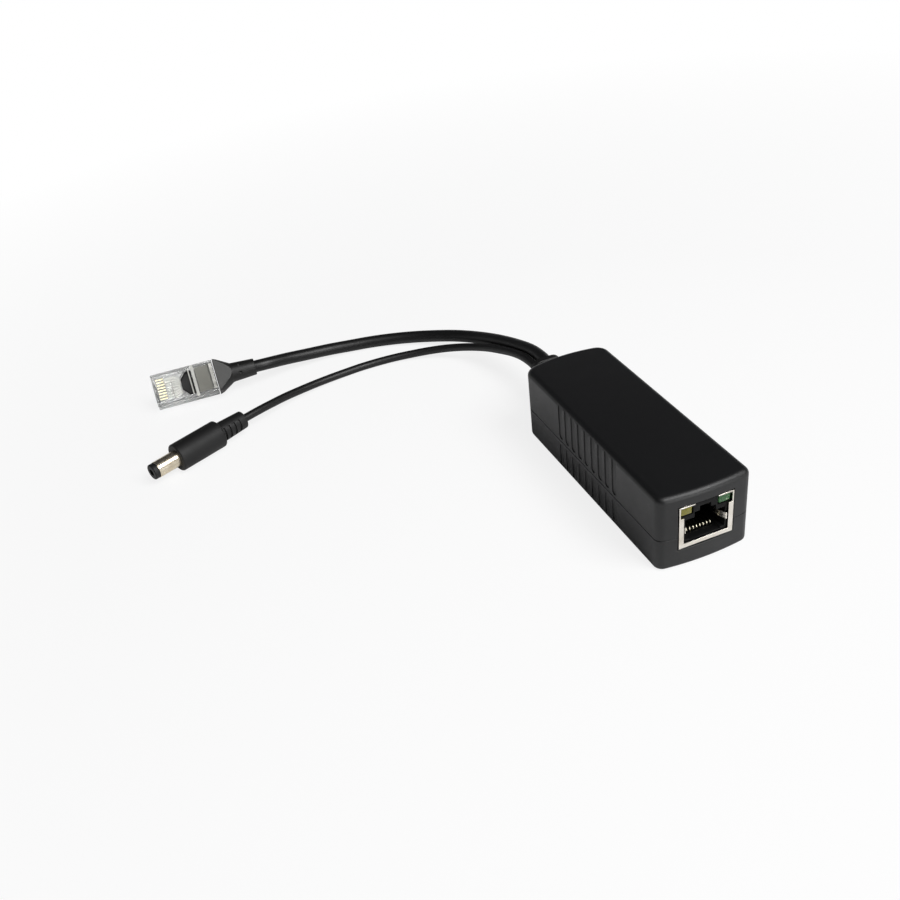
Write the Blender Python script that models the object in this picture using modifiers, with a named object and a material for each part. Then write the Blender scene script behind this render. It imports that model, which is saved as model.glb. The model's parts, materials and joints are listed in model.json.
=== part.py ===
"""In-line power-over-Ethernet splitter: a black case with a shielded jack at the front and, at the
rear, a pigtail of two cords that end in a data plug and a barrel power plug. Metres, +Z up.
The origin is at the middle of the case's underside, and the jack faces -Y."""

import math

import bmesh
import bpy
from mathutils import Matrix, Vector

# Fits
FIT = 0.0003
CUT_OVERSHOOT = 0.001

# Case
CASE_WIDTH = 0.0275
CASE_LENGTH = 0.0790
CASE_HEIGHT = 0.0235
CASE_WALL = 0.0020
CASE_FLOOR = 0.0020
SEAM_HEIGHT = 0.0100
FRONT_CORNER = 0.0026
REAR_CORNER = 0.0042
FRONT_BOW = 0.0008
REAR_BOW = 0.0012
TOP_FILLET = 0.0018
BOTTOM_FILLET = 0.0012
LIP_THICKNESS = 0.0007
LIP_HEIGHT = 0.0012

# Grip grooves on the long sides
GROOVE_COUNT = 9
GROOVE_PITCH = 0.00385
GROOVE_WIDTH = 0.0024
GROOVE_DEPTH = 0.0005
GROOVE_MIDDLE_Y = -0.0012
LOWER_GROOVE_DEPTH = 0.0003
GROOVE_SEAM_MARGIN = 0.0010

# Shielded jack
JACK_WIDTH = 0.0160
JACK_HEIGHT = 0.0134
JACK_DEPTH = 0.0213
JACK_LID_GAP = 0.0020
JACK_RECESS = 0.0003
SHEET = 0.0003
FRAME_SIDE = 0.0014
FRAME_BOTTOM = 0.0013
NOTCH_WIDTH = 0.0068
NOTCH_DEPTH = 0.0008
INSERT_DEPTH = 0.0190
CAVITY_WIDTH = 0.01184
CAVITY_HEIGHT = 0.00685
CAVITY_DEPTH = 0.0129
CAVITY_FLOOR = 0.0016
LEDGE_WIDTH = 0.0013
LEDGE_HEIGHT = 0.0005
KEYWAY_WIDTH = 0.0063
KEYWAY_HEIGHT = 0.0017
KEYWAY_NECK_WIDTH = 0.0033
KEYWAY_NECK_HEIGHT = 0.0014
LED_WIDTH = 0.0035
LED_HEIGHT = 0.0027
LED_DEPTH = 0.0080
LED_EDGE = 0.0003
LED_RECESS = 0.0006

# Jack contacts
CONTACT_COUNT = 8
CONTACT_PITCH = 0.001016
CONTACT_WIRE = 0.0004
CONTACT_TROUGH_DEPTH = 0.0008
PIN_BLOCK_DEPTH = 0.0009
PIN_BLOCK_HEIGHT = 0.0040
KNEE_SETBACK = 0.0040
KNEE_HEIGHT = 0.0020
KNEE_RADIUS = 0.00055
ARM_LENGTH = 0.0080
ARM_RISE = math.radians(14)

# Ground springs in the jack's sides
SPRING_HEIGHT = 0.0055
SPRING_WIDTH = 0.0020
SPRING_REACH = 0.0056
SPRING_BULGE = 0.0011

# Circuit board and what stands on it
BOARD_THICKNESS = 0.0012
BOARD_SIDE_GAP = 0.00055
BOARD_END_GAP = 0.0011
BOARD_REAR_GAP = 0.0044
BOARD_CORNER = 0.0010
BOSS_RADIUS = 0.0016
BOSS_SIDE_INSET = 0.0022
BOSS_FRONT_INSET = 0.0244
BOSS_REAR_INSET = 0.0051
PART_EDGE_GAP = 0.0004
PART_GAP = 0.0007
MAGNETICS_SIZE = (0.0150, 0.0120, 0.0058)
BRIDGE_SIZE = (0.0048, 0.0040, 0.0025)
CHIP_SIZE = (0.0060, 0.0050, 0.0016)
CORE_DEPTH = 0.0060
CORE_HEIGHT = 0.0120
CORE_LEG = 0.0024
WINDING_LENGTH = 0.0100
CAPACITOR_RADIUS = 0.0040
INPUT_CAPACITOR_HEIGHT = 0.0115
OUTPUT_CAPACITOR_HEIGHT = 0.0120
INDUCTOR_RADIUS = 0.0030
INDUCTOR_HEIGHT = 0.0070
DIODE_SIZE = (0.0036, 0.0043, 0.0023)

# Strain relief where the pigtail leaves the case
RELIEF_WIDTH = 0.0105
RELIEF_HEIGHT = 0.0080
RELIEF_CORNER = 0.0032
RELIEF_REACH = 0.0122
RELIEF_Z = 0.0124
RELIEF_COLLAR = 0.0024
RELIEF_TAPER = 0.0006
RELIEF_RIBS = 3
RELIEF_GROOVE = 0.0009
NECK_WIDTH = 0.0084
NECK_HEIGHT = 0.0064
NECK_CORNER = 0.0028
FLANGE_THICKNESS = 0.0022
FLANGE_GAP = 0.0006

# Cords and the tails that run on inside the case
ETHERNET_CORD = 0.0044
DC_CORD = 0.0028
ETHERNET_EXIT = (0.0014, 0.0002)
DC_EXIT = (-0.0025, -0.0010)
TAIL_LANDING = 0.0035
TAIL_STRAIGHT = 0.0010
ETHERNET_ROUTE = [
    (0.0015, 0.0580, 0.01260), (0.0010, 0.0646, 0.01210), (-0.0005, 0.0714, 0.01110),
    (-0.0026, 0.0790, 0.00970), (-0.0051, 0.0867, 0.00800), (-0.0082, 0.0943, 0.00620),
    (-0.0124, 0.1013, 0.00470), (-0.0179, 0.1074, 0.00350), (-0.0244, 0.1124, 0.00280),
    (-0.0318, 0.1163, 0.00245), (-0.0397, 0.1190, 0.00240), (-0.0478, 0.1205, 0.00260),
    (-0.0561, 0.1210, 0.00330), (-0.0643, 0.1204, 0.00430), (-0.0720, 0.1192, 0.00560),
    (-0.0772, 0.1178, 0.00665), (-0.0815, 0.1169, 0.00735),
]
DC_ROUTE = [
    (-0.0025, 0.0580, 0.01150), (-0.0029, 0.0638, 0.01120), (-0.0040, 0.0697, 0.01035),
    (-0.0057, 0.0756, 0.00910), (-0.0078, 0.0816, 0.00765), (-0.0106, 0.0873, 0.00610),
    (-0.0142, 0.0922, 0.00480), (-0.0188, 0.0964, 0.00370), (-0.0241, 0.0997, 0.00280),
    (-0.0300, 0.1022, 0.00210), (-0.0362, 0.1038, 0.00175), (-0.0426, 0.1045, 0.00160),
    (-0.0490, 0.1045, 0.00160), (-0.0553, 0.1039, 0.00165), (-0.0616, 0.1028, 0.00190),
    (-0.0678, 0.1012, 0.00230), (-0.0739, 0.0990, 0.00290), (-0.0798, 0.0963, 0.00370),
    (-0.0853, 0.0934, 0.00440), (-0.0908, 0.0906, 0.00490),
]

# Data plug: where its tip lies, which way it points and how far it has rolled over
PLUG_TIP = (-0.1218, 0.1189, 0.0075)
PLUG_HEADING = math.radians(-3)
PLUG_ROLL = math.radians(48)
PLUG_WIDTH = 0.0117
PLUG_LENGTH = 0.0222
PLUG_THICKNESS = 0.0066
PLUG_EDGE = 0.00025
BLADE_THICKNESS = 0.0005
BLADE_LENGTH = 0.0028
BLADE_HEIGHT = 0.0018
BLADE_SETBACK = 0.0013
BLADE_DEPTH = 0.0005
WIRE_DIAMETER = 0.0011
JACKET_WIDTH = 0.0092
JACKET_HEIGHT = 0.0034
JACKET_NOSE_WIDTH = 0.0044
JACKET_START = 0.0099
JACKET_SHOULDER = 0.0021
CRIMP_WINDOW_LENGTH = 0.0043
REAR_WINDOW_START = 0.0156
REAR_WINDOW_LENGTH = 0.0050
WINDOW_WIDTH = 0.0094
REAR_WINDOW_DEPTH = 0.0009
GROOVE_LINE_X = 0.0074
GROOVE_LINE_SIZE = 0.0003

# Latch of the data plug
LATCH_ROOT = 0.0011
LATCH_LENGTH = 0.0158
LATCH_WIDTH = 0.0061
LATCH_SHOULDER = 0.0072
LATCH_NECK_WIDTH = 0.0032
LATCH_TAIL_WIDTH = 0.0040
LATCH_THICKNESS = 0.0011
LATCH_ANGLE = math.radians(12)

# Moulded boot of the data plug
BOOT_TAPER = 0.0058
BOOT_SLEEVE = 0.0086
BOOT_WIDTH = 0.0118
BOOT_THICKNESS = 0.0068
BOOT_NECK = 0.0073
BOOT_END = 0.0060
BOOT_HOLE = 0.0009
BOOT_HOLE_SPAN = 0.0029
BOOT_HOLE_DEPTH = 0.0008
BOOT_HOLE_SETBACK = 0.0023

# Barrel power plug: where its tip lies and which way it points
POWER_TIP = (-0.1304, 0.0729, 0.0050)
POWER_HEADING = math.radians(24.1)
BARREL_LENGTH = 0.0096
BARREL_RADIUS = 0.00275
BARREL_WALL = 0.00055
BARREL_SEAT = 0.0037
TIP_LENGTH = 0.0017
TIP_EDGE = 0.0004
PIN_BORE_RADIUS = 0.00105
PIN_WALL = 0.00025
PIN_RECESS = 0.0009
GRIP_RADIUS = 0.0048
GRIP_LENGTH = 0.0173
GRIP_EDGE = 0.0006
SLEEVE_LENGTH = 0.0102
SLEEVE_RADIUS = 0.0035
SLEEVE_END_RADIUS = 0.0031
SLEEVE_SLOTS = 4
SLEEVE_SLOT_WIDTH = 0.0009
SLEEVE_SLOT_DEPTH = 0.0006
SLEEVE_SLOT_SWEEP = math.radians(94)
SLEEVE_COLLAR = 0.0027
SLEEVE_EDGE = 0.0004

# Faces round a turned piece and along a rounded edge
TURN_STEPS = 28
ARC_STEPS = 4

# Levels and faces that several pieces share
JACK_FRONT = -CASE_LENGTH / 2 + JACK_RECESS
JACK_TOP = CASE_HEIGHT - CASE_WALL - JACK_LID_GAP
JACK_BOTTOM = JACK_TOP - JACK_HEIGHT
BOARD_TOP = JACK_BOTTOM - FIT
BOARD_BOTTOM = BOARD_TOP - BOARD_THICKNESS
BOARD_WIDTH = CASE_WIDTH - 2 * (CASE_WALL + BOARD_SIDE_GAP)
BOARD_FRONT = -CASE_LENGTH / 2 + CASE_WALL + BOARD_END_GAP
BOARD_REAR = CASE_LENGTH / 2 - CASE_WALL - BOARD_REAR_GAP
INSERT_FRONT = JACK_FRONT + SHEET + FIT
INSERT_HALF = JACK_WIDTH / 2 - SHEET - FIT
INSERT_TOP = JACK_TOP - SHEET - FIT
FLOOR_LEVEL = JACK_BOTTOM + CAVITY_FLOOR
TROUGH_LEVEL = FLOOR_LEVEL - CONTACT_TROUGH_DEPTH
LED_BOTTOM = INSERT_TOP - LED_HEIGHT
KNEE_Y = JACK_FRONT + KNEE_SETBACK
KNEE_Z = JACK_BOTTOM + KNEE_HEIGHT
PIN_BLOCK_REAR = INSERT_FRONT + INSERT_DEPTH + FIT + PIN_BLOCK_DEPTH
TAIL_LANDING_Y = BOARD_REAR - TAIL_LANDING
RELIEF_FRONT = CASE_LENGTH / 2 + FIT
RELIEF_END = CASE_LENGTH / 2 + RELIEF_REACH
BOOT_FRONT = PLUG_LENGTH + FIT
BOOT_REAR = BOOT_FRONT + BOOT_TAPER + BOOT_SLEEVE
GRIP_REAR = BARREL_LENGTH + GRIP_LENGTH
SLEEVE_REAR = GRIP_REAR + SLEEVE_LENGTH

# Colour, roughness, metallic and transmission of each finish
LOOKS = {
    "case_plastic": ((0.020, 0.020, 0.021), 0.50, 0.0, 0.0),
    "nickel": ((0.72, 0.68, 0.61), 0.28, 1.0, 0.0),
    "insert_plastic": ((0.010, 0.010, 0.010), 0.45, 0.0, 0.0),
    "gold": ((0.83, 0.62, 0.28), 0.25, 1.0, 0.0),
    "yellow_lens": ((0.42, 0.38, 0.08), 0.25, 0.0, 0.3),
    "green_lens": ((0.12, 0.30, 0.11), 0.25, 0.0, 0.3),
    "board": ((0.02, 0.12, 0.05), 0.45, 0.0, 0.0),
    "component": ((0.015, 0.015, 0.016), 0.5, 0.0, 0.0),
    "ferrite": ((0.05, 0.05, 0.055), 0.6, 0.0, 0.0),
    "winding_tape": ((0.55, 0.42, 0.05), 0.4, 0.0, 0.0),
    "can": ((0.04, 0.05, 0.10), 0.35, 0.0, 0.0),
    "wire": ((0.35, 0.16, 0.04), 0.45, 0.0, 0.0),
    "rubber": ((0.016, 0.016, 0.016), 0.60, 0.0, 0.0),
    "cord_jacket": ((0.014, 0.014, 0.014), 0.42, 0.0, 0.0),
    "clear_plastic": ((0.92, 0.93, 0.93), 0.10, 0.0, 0.9),
    "boot_plastic": ((0.060, 0.060, 0.058), 0.55, 0.0, 0.0),
}


def start_scene():
    """Empty the scene and make the collections for the parts and the cutters."""
    for old in list(bpy.data.objects):
        bpy.data.objects.remove(old, do_unlink=True)
    made = []
    for name in ("poe_splitter", "cutters"):
        group = bpy.data.collections.new(name)
        bpy.context.scene.collection.children.link(group)
        made.append(group)
    return made


PARTS, CUTTERS = start_scene()


def look_material(name):
    """Make a finish's material the first time it is asked for."""
    found = bpy.data.materials.get(name)
    if found:
        return found
    colour, roughness, metallic, transmission = LOOKS[name]
    made = bpy.data.materials.new(name)
    made.use_nodes = True
    shader = made.node_tree.nodes["Principled BSDF"]
    shader.inputs["Base Color"].default_value = (*colour, 1.0)
    shader.inputs["Roughness"].default_value = roughness
    shader.inputs["Metallic"].default_value = metallic
    shader.inputs["Transmission Weight"].default_value = transmission
    made.diffuse_color = (*colour, 1.0)
    return made


def frame_empty(name, matrix):
    """Place an empty that carries the pieces of one sub-assembly."""
    empty = bpy.data.objects.new(name, None)
    PARTS.objects.link(empty)
    empty.matrix_world = matrix
    return empty


def place(obj, look, parent, location, rotation):
    """Link a part, give it its finish and set it where it belongs."""
    PARTS.objects.link(obj)
    obj.data.materials.append(look_material(look))
    obj.parent = parent
    obj.location = location
    obj.rotation_euler = rotation
    return obj


def mesh_from(name, bm):
    """Turn a bmesh into mesh data with its faces pointing out and its round edges smooth."""
    bmesh.ops.recalc_face_normals(bm, faces=bm.faces)
    mesh = bpy.data.meshes.new(name)
    bm.to_mesh(mesh)
    bm.free()
    mesh.shade_smooth()
    mesh.set_sharp_from_angle(angle=math.radians(35))
    return mesh


def solid(name, bm, look, parent=None, location=(0, 0, 0), rotation=(0, 0, 0)):
    """Make a part from a bmesh."""
    obj = bpy.data.objects.new(name, mesh_from(name, bm))
    return place(obj, look, parent, location, rotation)


def combine(target, operation, name, bm):
    """Cut a bmesh out of a part, or join it on, with a Boolean that stays live."""
    tool = bpy.data.objects.new(name, mesh_from(name, bm))
    CUTTERS.objects.link(tool)
    tool.parent = target.parent
    tool.hide_render = True
    tool.display_type = "WIRE"
    modifier = target.modifiers.new(name, "BOOLEAN")
    modifier.operation = operation
    modifier.solver = "EXACT"
    modifier.object = tool


def along(axis, u, v, w):
    """Put two outline coordinates and one depth on the world axes."""
    if axis == "X":
        return Vector((w, u, v))
    if axis == "Y":
        return Vector((u, w, v))
    return Vector((u, v, w))


def prism(bm, outline, low, high, axis="Z"):
    """Push a flat outline from low to high along an axis."""
    base = bm.faces.new([bm.verts.new(along(axis, u, v, low)) for u, v in outline])
    grown = bmesh.ops.extrude_face_region(bm, geom=[base])
    moved = [item for item in grown["geom"] if isinstance(item, bmesh.types.BMVert)]
    bmesh.ops.translate(bm, verts=moved, vec=along(axis, 0, 0, high - low))
    return bm


def box(bm, low, high):
    """Add a box between two corners."""
    size = Vector(high) - Vector(low)
    middle = (Vector(high) + Vector(low)) / 2
    bmesh.ops.create_cube(bm, size=1.0, matrix=Matrix.Translation(middle) @ Matrix.Diagonal((*size, 1.0)))
    return bm


def round_edges(obj, width):
    """Round a part's edges with a small bevel."""
    bevel = obj.modifiers.new("rounded_edges", "BEVEL")
    bevel.width = width
    bevel.segments = 2
    bevel.limit_method = "ANGLE"
    bevel.angle_limit = math.radians(50)


def rounded_rectangle(width, height, radius):
    """Outline of a rectangle with rounded corners, counter-clockwise."""
    points = []
    for quarter in range(4):
        corner_u = (width / 2 - radius) * (1 if quarter in (0, 3) else -1)
        corner_v = (height / 2 - radius) * (1 if quarter in (0, 1) else -1)
        for step in range(ARC_STEPS + 1):
            angle = math.pi / 2 * (quarter + step / ARC_STEPS)
            points.append((corner_u + radius * math.cos(angle), corner_v + radius * math.sin(angle)))
    return points


def shift(outline, by_u, by_v):
    """Move an outline."""
    return [(u + by_u, v + by_v) for u, v in outline]


def slot_outline(width, low, high):
    """Outline of an upright slot with round ends."""
    points = []
    for end, start in ((high - width / 2, 0.0), (low + width / 2, math.pi)):
        for step in range(2 * ARC_STEPS + 1):
            angle = start + math.pi * step / (2 * ARC_STEPS)
            points.append((width / 2 * math.cos(angle), end + width / 2 * math.sin(angle)))
    return points


def loft(bm, rings):
    """Skin a row of rings that all have the same number of points, and close both ends."""
    loops = [[bm.verts.new(point) for point in ring] for ring in rings]
    for near, far in zip(loops, loops[1:]):
        for index in range(len(near)):
            after = (index + 1) % len(near)
            bm.faces.new((near[index], near[after], far[after], far[index]))
    bm.faces.new(loops[0])
    bm.faces.new(loops[-1])
    return bm


def turned(name, profile, look, parent, closed=False):
    """Turn a profile of (radius, distance along the plug) pairs round the plug's axis."""
    bm = bmesh.new()
    verts = [bm.verts.new((radius, 0, distance)) for radius, distance in profile]
    for near, far in zip(verts, verts[1:]):
        bm.edges.new((near, far))
    if closed:
        bm.edges.new((verts[-1], verts[0]))
    mesh = bpy.data.meshes.new(name)
    bm.to_mesh(mesh)
    bm.free()
    obj = bpy.data.objects.new(name, mesh)
    screw = obj.modifiers.new("turned", "SCREW")
    screw.steps = TURN_STEPS
    screw.render_steps = TURN_STEPS
    screw.use_merge_vertices = True
    screw.merge_threshold = 0.00001
    screw.use_smooth_shade = False
    return place(obj, look, parent, (0, 0, 0), (0, math.radians(90), 0))


def tube(name, path, diameter, resolution, look, parent=None, location=(0, 0, 0)):
    """Make a round wire or cord along a path, with closed ends."""
    data = bpy.data.curves.new(name, "CURVE")
    data.dimensions = "3D"
    data.bevel_depth = diameter / 2
    data.bevel_resolution = resolution
    data.use_fill_caps = True
    spline = data.splines.new("POLY")
    spline.points.add(len(path) - 1)
    for point, spot in zip(spline.points, path):
        point.co = (*spot, 1.0)
    obj = bpy.data.objects.new(name, data)
    return place(obj, look, parent, location, (0, 0, 0))


def smooth_route(route, spacing):
    """Read evenly spaced points from a smooth curve through the route's points."""
    spots = [Vector(spot) for spot in route]
    ends = [2 * spots[0] - spots[1]] + spots + [2 * spots[-1] - spots[-2]]
    fine = []
    for before, start, stop, after in zip(ends, ends[1:], ends[2:], ends[3:]):
        for step in range(12):
            t = step / 12
            bend = (2 * before - 5 * start + 4 * stop - after) * t ** 2
            twist = (3 * start - before - 3 * stop + after) * t ** 3
            fine.append((2 * start + (stop - before) * t + bend + twist) / 2)
    fine.append(spots[-1])
    lengths = [0.0]
    for near, far in zip(fine, fine[1:]):
        lengths.append(lengths[-1] + (far - near).length)
    count = max(2, round(lengths[-1] / spacing))
    points = []
    for index in range(count + 1):
        target = lengths[-1] * index / count
        span = next(i for i in range(len(fine) - 1) if lengths[i + 1] >= target or i == len(fine) - 2)
        share = (target - lengths[span]) / (lengths[span + 1] - lengths[span])
        points.append(fine[span].lerp(fine[span + 1], min(share, 1.0)))
    return points


# Case

def case_end(half_width, reach, bow, radius):
    """Bowed end that faces -Y, from the left side to the right, with its corner arcs."""
    lean = math.atan2(2 * bow, half_width - radius)
    edge = half_width - radius + radius * math.sin(lean)
    centre_y = -reach + bow + radius * math.cos(lean)
    corner = []
    for step in range(ARC_STEPS + 1):
        angle = math.pi + (math.pi / 2 - lean) * step / ARC_STEPS
        corner.append((radius - half_width + radius * math.cos(angle), centre_y + radius * math.sin(angle)))
    face = []
    for step in range(1, 2 * ARC_STEPS):
        x = edge * (step / ARC_STEPS - 1)
        face.append((x, -reach + bow * (x / edge) ** 2))
    return corner + face + [(-x, y) for x, y in reversed(corner)]


def case_outline(inset):
    """Plan of the case, drawn in by an inset."""
    half_width = CASE_WIDTH / 2 - inset
    reach = CASE_LENGTH / 2 - inset
    front = case_end(half_width, reach, FRONT_BOW, max(FRONT_CORNER - inset, LIP_THICKNESS))
    rear = case_end(half_width, reach, REAR_BOW, max(REAR_CORNER - inset, LIP_THICKNESS))
    return front + [(-x, -y) for x, y in rear]


def case_block(low, high, rim, fillet):
    """Solid block with the case's plan, with one rim rounded."""
    bm = prism(bmesh.new(), case_outline(0), low, high)
    edges = [edge for edge in bm.edges if all(abs(vert.co.z - rim) < FIT / 10 for vert in edge.verts)]
    limit = 0.9 * min(FRONT_CORNER, REAR_CORNER)
    bmesh.ops.bevel(bm, geom=edges, offset=min(fillet, limit), segments=ARC_STEPS, profile=0.5, affect="EDGES")
    return bm


def grip_grooves(low, high, depth):
    """Row of upright grooves on both long sides."""
    bm = bmesh.new()
    outline = slot_outline(GROOVE_WIDTH, low, high)
    for index in range(GROOVE_COUNT):
        middle = GROOVE_MIDDLE_Y + (index - (GROOVE_COUNT - 1) / 2) * GROOVE_PITCH
        for side in (-1, 1):
            bottom = side * (CASE_WIDTH / 2 - depth)
            prism(bm, shift(outline, middle, 0), bottom, side * (CASE_WIDTH / 2 + CUT_OVERSHOOT), "X")
    return bm


def case_openings(shell):
    """Cut the jack's window at the front and the cable's hole at the rear."""
    half = JACK_WIDTH / 2 + FIT
    outside = -CASE_LENGTH / 2 - CUT_OVERSHOOT
    inside = -CASE_LENGTH / 2 + CASE_WALL + FRONT_BOW + CUT_OVERSHOOT
    window = box(bmesh.new(), (-half, outside, JACK_BOTTOM - FIT), (half, inside, JACK_TOP + FIT))
    combine(shell, "DIFFERENCE", shell.name + "_jack_window", window)
    hole = rounded_rectangle(NECK_WIDTH + 2 * FIT, NECK_HEIGHT + 2 * FIT, NECK_CORNER + FIT)
    start = CASE_LENGTH / 2 - CASE_WALL - REAR_BOW - CUT_OVERSHOOT
    stop = CASE_LENGTH / 2 + CUT_OVERSHOOT
    cable_hole = prism(bmesh.new(), shift(hole, 0, RELIEF_Z), start, stop, "Y")
    combine(shell, "DIFFERENCE", shell.name + "_cable_hole", cable_hole)


def upper_shell(parent):
    """Top half: hollow, with a rebate that takes the lower half's lip."""
    low = SEAM_HEIGHT + FIT / 2
    shell = solid("upper_shell", case_block(low, CASE_HEIGHT, CASE_HEIGHT, TOP_FILLET), "case_plastic", parent)
    below = SEAM_HEIGHT - CUT_OVERSHOOT
    hollow = prism(bmesh.new(), case_outline(CASE_WALL), below, CASE_HEIGHT - CASE_WALL)
    combine(shell, "DIFFERENCE", "upper_hollow", hollow)
    rebate_inset = CASE_WALL - LIP_THICKNESS - FIT
    rebate = prism(bmesh.new(), case_outline(rebate_inset), below, SEAM_HEIGHT + LIP_HEIGHT + FIT)
    combine(shell, "DIFFERENCE", "upper_rebate", rebate)
    case_openings(shell)
    past_top = CASE_HEIGHT + GROOVE_WIDTH
    grooves = grip_grooves(SEAM_HEIGHT + GROOVE_SEAM_MARGIN, past_top, GROOVE_DEPTH)
    combine(shell, "DIFFERENCE", "upper_grooves", grooves)


def lower_shell(parent):
    """Bottom half: a tray with a lip round its rim and bosses that carry the board."""
    high = SEAM_HEIGHT - FIT / 2
    shell = solid("lower_shell", case_block(0, high, 0, BOTTOM_FILLET), "case_plastic", parent)
    lip_top = SEAM_HEIGHT + LIP_HEIGHT
    lip = prism(bmesh.new(), case_outline(CASE_WALL - LIP_THICKNESS), SEAM_HEIGHT - LIP_HEIGHT, lip_top)
    combine(shell, "UNION", "lower_lip", lip)
    hollow = prism(bmesh.new(), case_outline(CASE_WALL), CASE_FLOOR, lip_top + CUT_OVERSHOOT)
    combine(shell, "DIFFERENCE", "lower_hollow", hollow)
    case_openings(shell)
    grooves = grip_grooves(-GROOVE_WIDTH, SEAM_HEIGHT - GROOVE_SEAM_MARGIN, LOWER_GROOVE_DEPTH)
    combine(shell, "DIFFERENCE", "lower_grooves", grooves)
    bosses = bmesh.new()
    bottom = CASE_FLOOR / 2
    height = BOARD_BOTTOM - FIT - bottom
    inset = BOARD_WIDTH / 2 - BOSS_SIDE_INSET
    for x in (-inset, inset):
        for y in (BOARD_FRONT + BOSS_FRONT_INSET, BOARD_REAR - BOSS_REAR_INSET):
            spot = Matrix.Translation((x, y, bottom + height / 2))
            bmesh.ops.create_cone(bosses, cap_ends=True, segments=3 * ARC_STEPS, radius1=BOSS_RADIUS,
                                  radius2=BOSS_RADIUS, depth=height, matrix=spot)
    combine(shell, "UNION", "lower_bosses", bosses)


# Shielded jack

def jack_shield(parent):
    """Folded sheet round the jack: open below and behind, with a frame at the front."""
    half = JACK_WIDTH / 2
    rear = JACK_FRONT + JACK_DEPTH
    body = box(bmesh.new(), (-half, JACK_FRONT, JACK_BOTTOM), (half, rear, JACK_TOP))
    shield = solid("jack_shield", body, "nickel", parent)
    inner = half - SHEET
    low_corner = (-inner, JACK_FRONT + SHEET, JACK_BOTTOM - CUT_OVERSHOOT)
    high_corner = (inner, rear + CUT_OVERSHOOT, JACK_TOP - SHEET)
    combine(shield, "DIFFERENCE", "shield_hollow", box(bmesh.new(), low_corner, high_corner))
    side = half - FRAME_SIDE
    wide = inner - SHEET / 3
    base = JACK_BOTTOM + FRAME_BOTTOM
    step = LED_BOTTOM - FIT
    top = JACK_TOP - SHEET - SHEET / 3
    window = [(-side, base), (side, base), (side, step), (wide, step), (wide, top), (-wide, top),
              (-wide, step), (-side, step)]
    before = JACK_FRONT - CUT_OVERSHOOT
    opening = prism(bmesh.new(), window, before, JACK_FRONT + 2 * SHEET, "Y")
    combine(shield, "DIFFERENCE", "shield_window", opening)
    notch = box(bmesh.new(), (-NOTCH_WIDTH / 2, before, top - SHEET),
                (NOTCH_WIDTH / 2, JACK_FRONT + NOTCH_DEPTH, JACK_TOP + CUT_OVERSHOOT))
    combine(shield, "DIFFERENCE", "shield_notch", notch)


def cavity_outline():
    """Plug cavity seen from the front: floor with corner ledges, and the latch keyway on top."""
    half = CAVITY_WIDTH / 2
    ledge = half - LEDGE_WIDTH
    key = KEYWAY_WIDTH / 2
    neck = KEYWAY_NECK_WIDTH / 2
    top = FLOOR_LEVEL + CAVITY_HEIGHT
    key_top = top + KEYWAY_HEIGHT
    right = [(ledge, FLOOR_LEVEL), (ledge, FLOOR_LEVEL + LEDGE_HEIGHT), (half, FLOOR_LEVEL + LEDGE_HEIGHT),
             (half, top), (key, top), (key, key_top), (neck, key_top), (neck, key_top + KEYWAY_NECK_HEIGHT)]
    return right + [(-x, z) for x, z in reversed(right)]


def contact_half_span():
    """Half the width of the contact row, wires included."""
    return (CONTACT_COUNT - 1) * CONTACT_PITCH / 2 + CONTACT_WIRE / 2


def jack_insert(parent):
    """Moulded insert: plug cavity, trough for the contacts, pockets for the lights and springs."""
    rear = INSERT_FRONT + INSERT_DEPTH
    body = box(bmesh.new(), (-INSERT_HALF, INSERT_FRONT, JACK_BOTTOM), (INSERT_HALF, rear, INSERT_TOP))
    insert = solid("jack_insert", body, "insert_plastic", parent)
    before = INSERT_FRONT - CUT_OVERSHOOT
    cavity = prism(bmesh.new(), cavity_outline(), before, INSERT_FRONT + CAVITY_DEPTH, "Y")
    combine(insert, "DIFFERENCE", "insert_cavity", cavity)
    trough_half = contact_half_span() + FIT
    trough_front = KNEE_Y - KNEE_RADIUS - CONTACT_WIRE / 2 - FIT
    trough_top = FLOOR_LEVEL + CONTACT_WIRE / 4
    trough = box(bmesh.new(), (-trough_half, trough_front, TROUGH_LEVEL),
                 (trough_half, rear + CUT_OVERSHOOT, trough_top))
    combine(insert, "DIFFERENCE", "insert_trough", trough)
    pockets = bmesh.new()
    pocket_rear = JACK_FRONT + LED_RECESS + LED_DEPTH + FIT
    slot_low = JACK_BOTTOM + SPRING_HEIGHT - SPRING_WIDTH / 2 - FIT
    slot_high = JACK_BOTTOM + SPRING_HEIGHT + SPRING_WIDTH / 2 + FIT
    slot_rear = JACK_FRONT + SPRING_REACH + 4 * FIT
    for side in (-1, 1):
        outer = side * (INSERT_HALF + CUT_OVERSHOOT)
        led_wall = side * (INSERT_HALF - LED_WIDTH - FIT)
        box(pockets, (min(outer, led_wall), before, LED_BOTTOM - FIT),
            (max(outer, led_wall), pocket_rear, INSERT_TOP + CUT_OVERSHOOT))
        slot_wall = side * (CAVITY_WIDTH / 2 - CUT_OVERSHOOT)
        box(pockets, (min(outer, slot_wall), before, slot_low), (max(outer, slot_wall), slot_rear, slot_high))
    combine(insert, "DIFFERENCE", "insert_pockets", pockets)


def jack_lights(parent):
    """Two indicator lenses in the jack's upper corners."""
    front = JACK_FRONT + LED_RECESS
    for name, side in (("led_yellow", -1), ("led_green", 1)):
        outer = side * INSERT_HALF
        inner = side * (INSERT_HALF - LED_WIDTH)
        lens = box(bmesh.new(), (min(outer, inner), front, LED_BOTTOM),
                   (max(outer, inner), front + LED_DEPTH, INSERT_TOP))
        light = solid(name, lens, "yellow_lens" if side < 0 else "green_lens", parent)
        round_edges(light, LED_EDGE)


def contact_row():
    """Sideways places of the contacts."""
    return [(index - (CONTACT_COUNT - 1) / 2) * CONTACT_PITCH for index in range(CONTACT_COUNT)]


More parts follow.
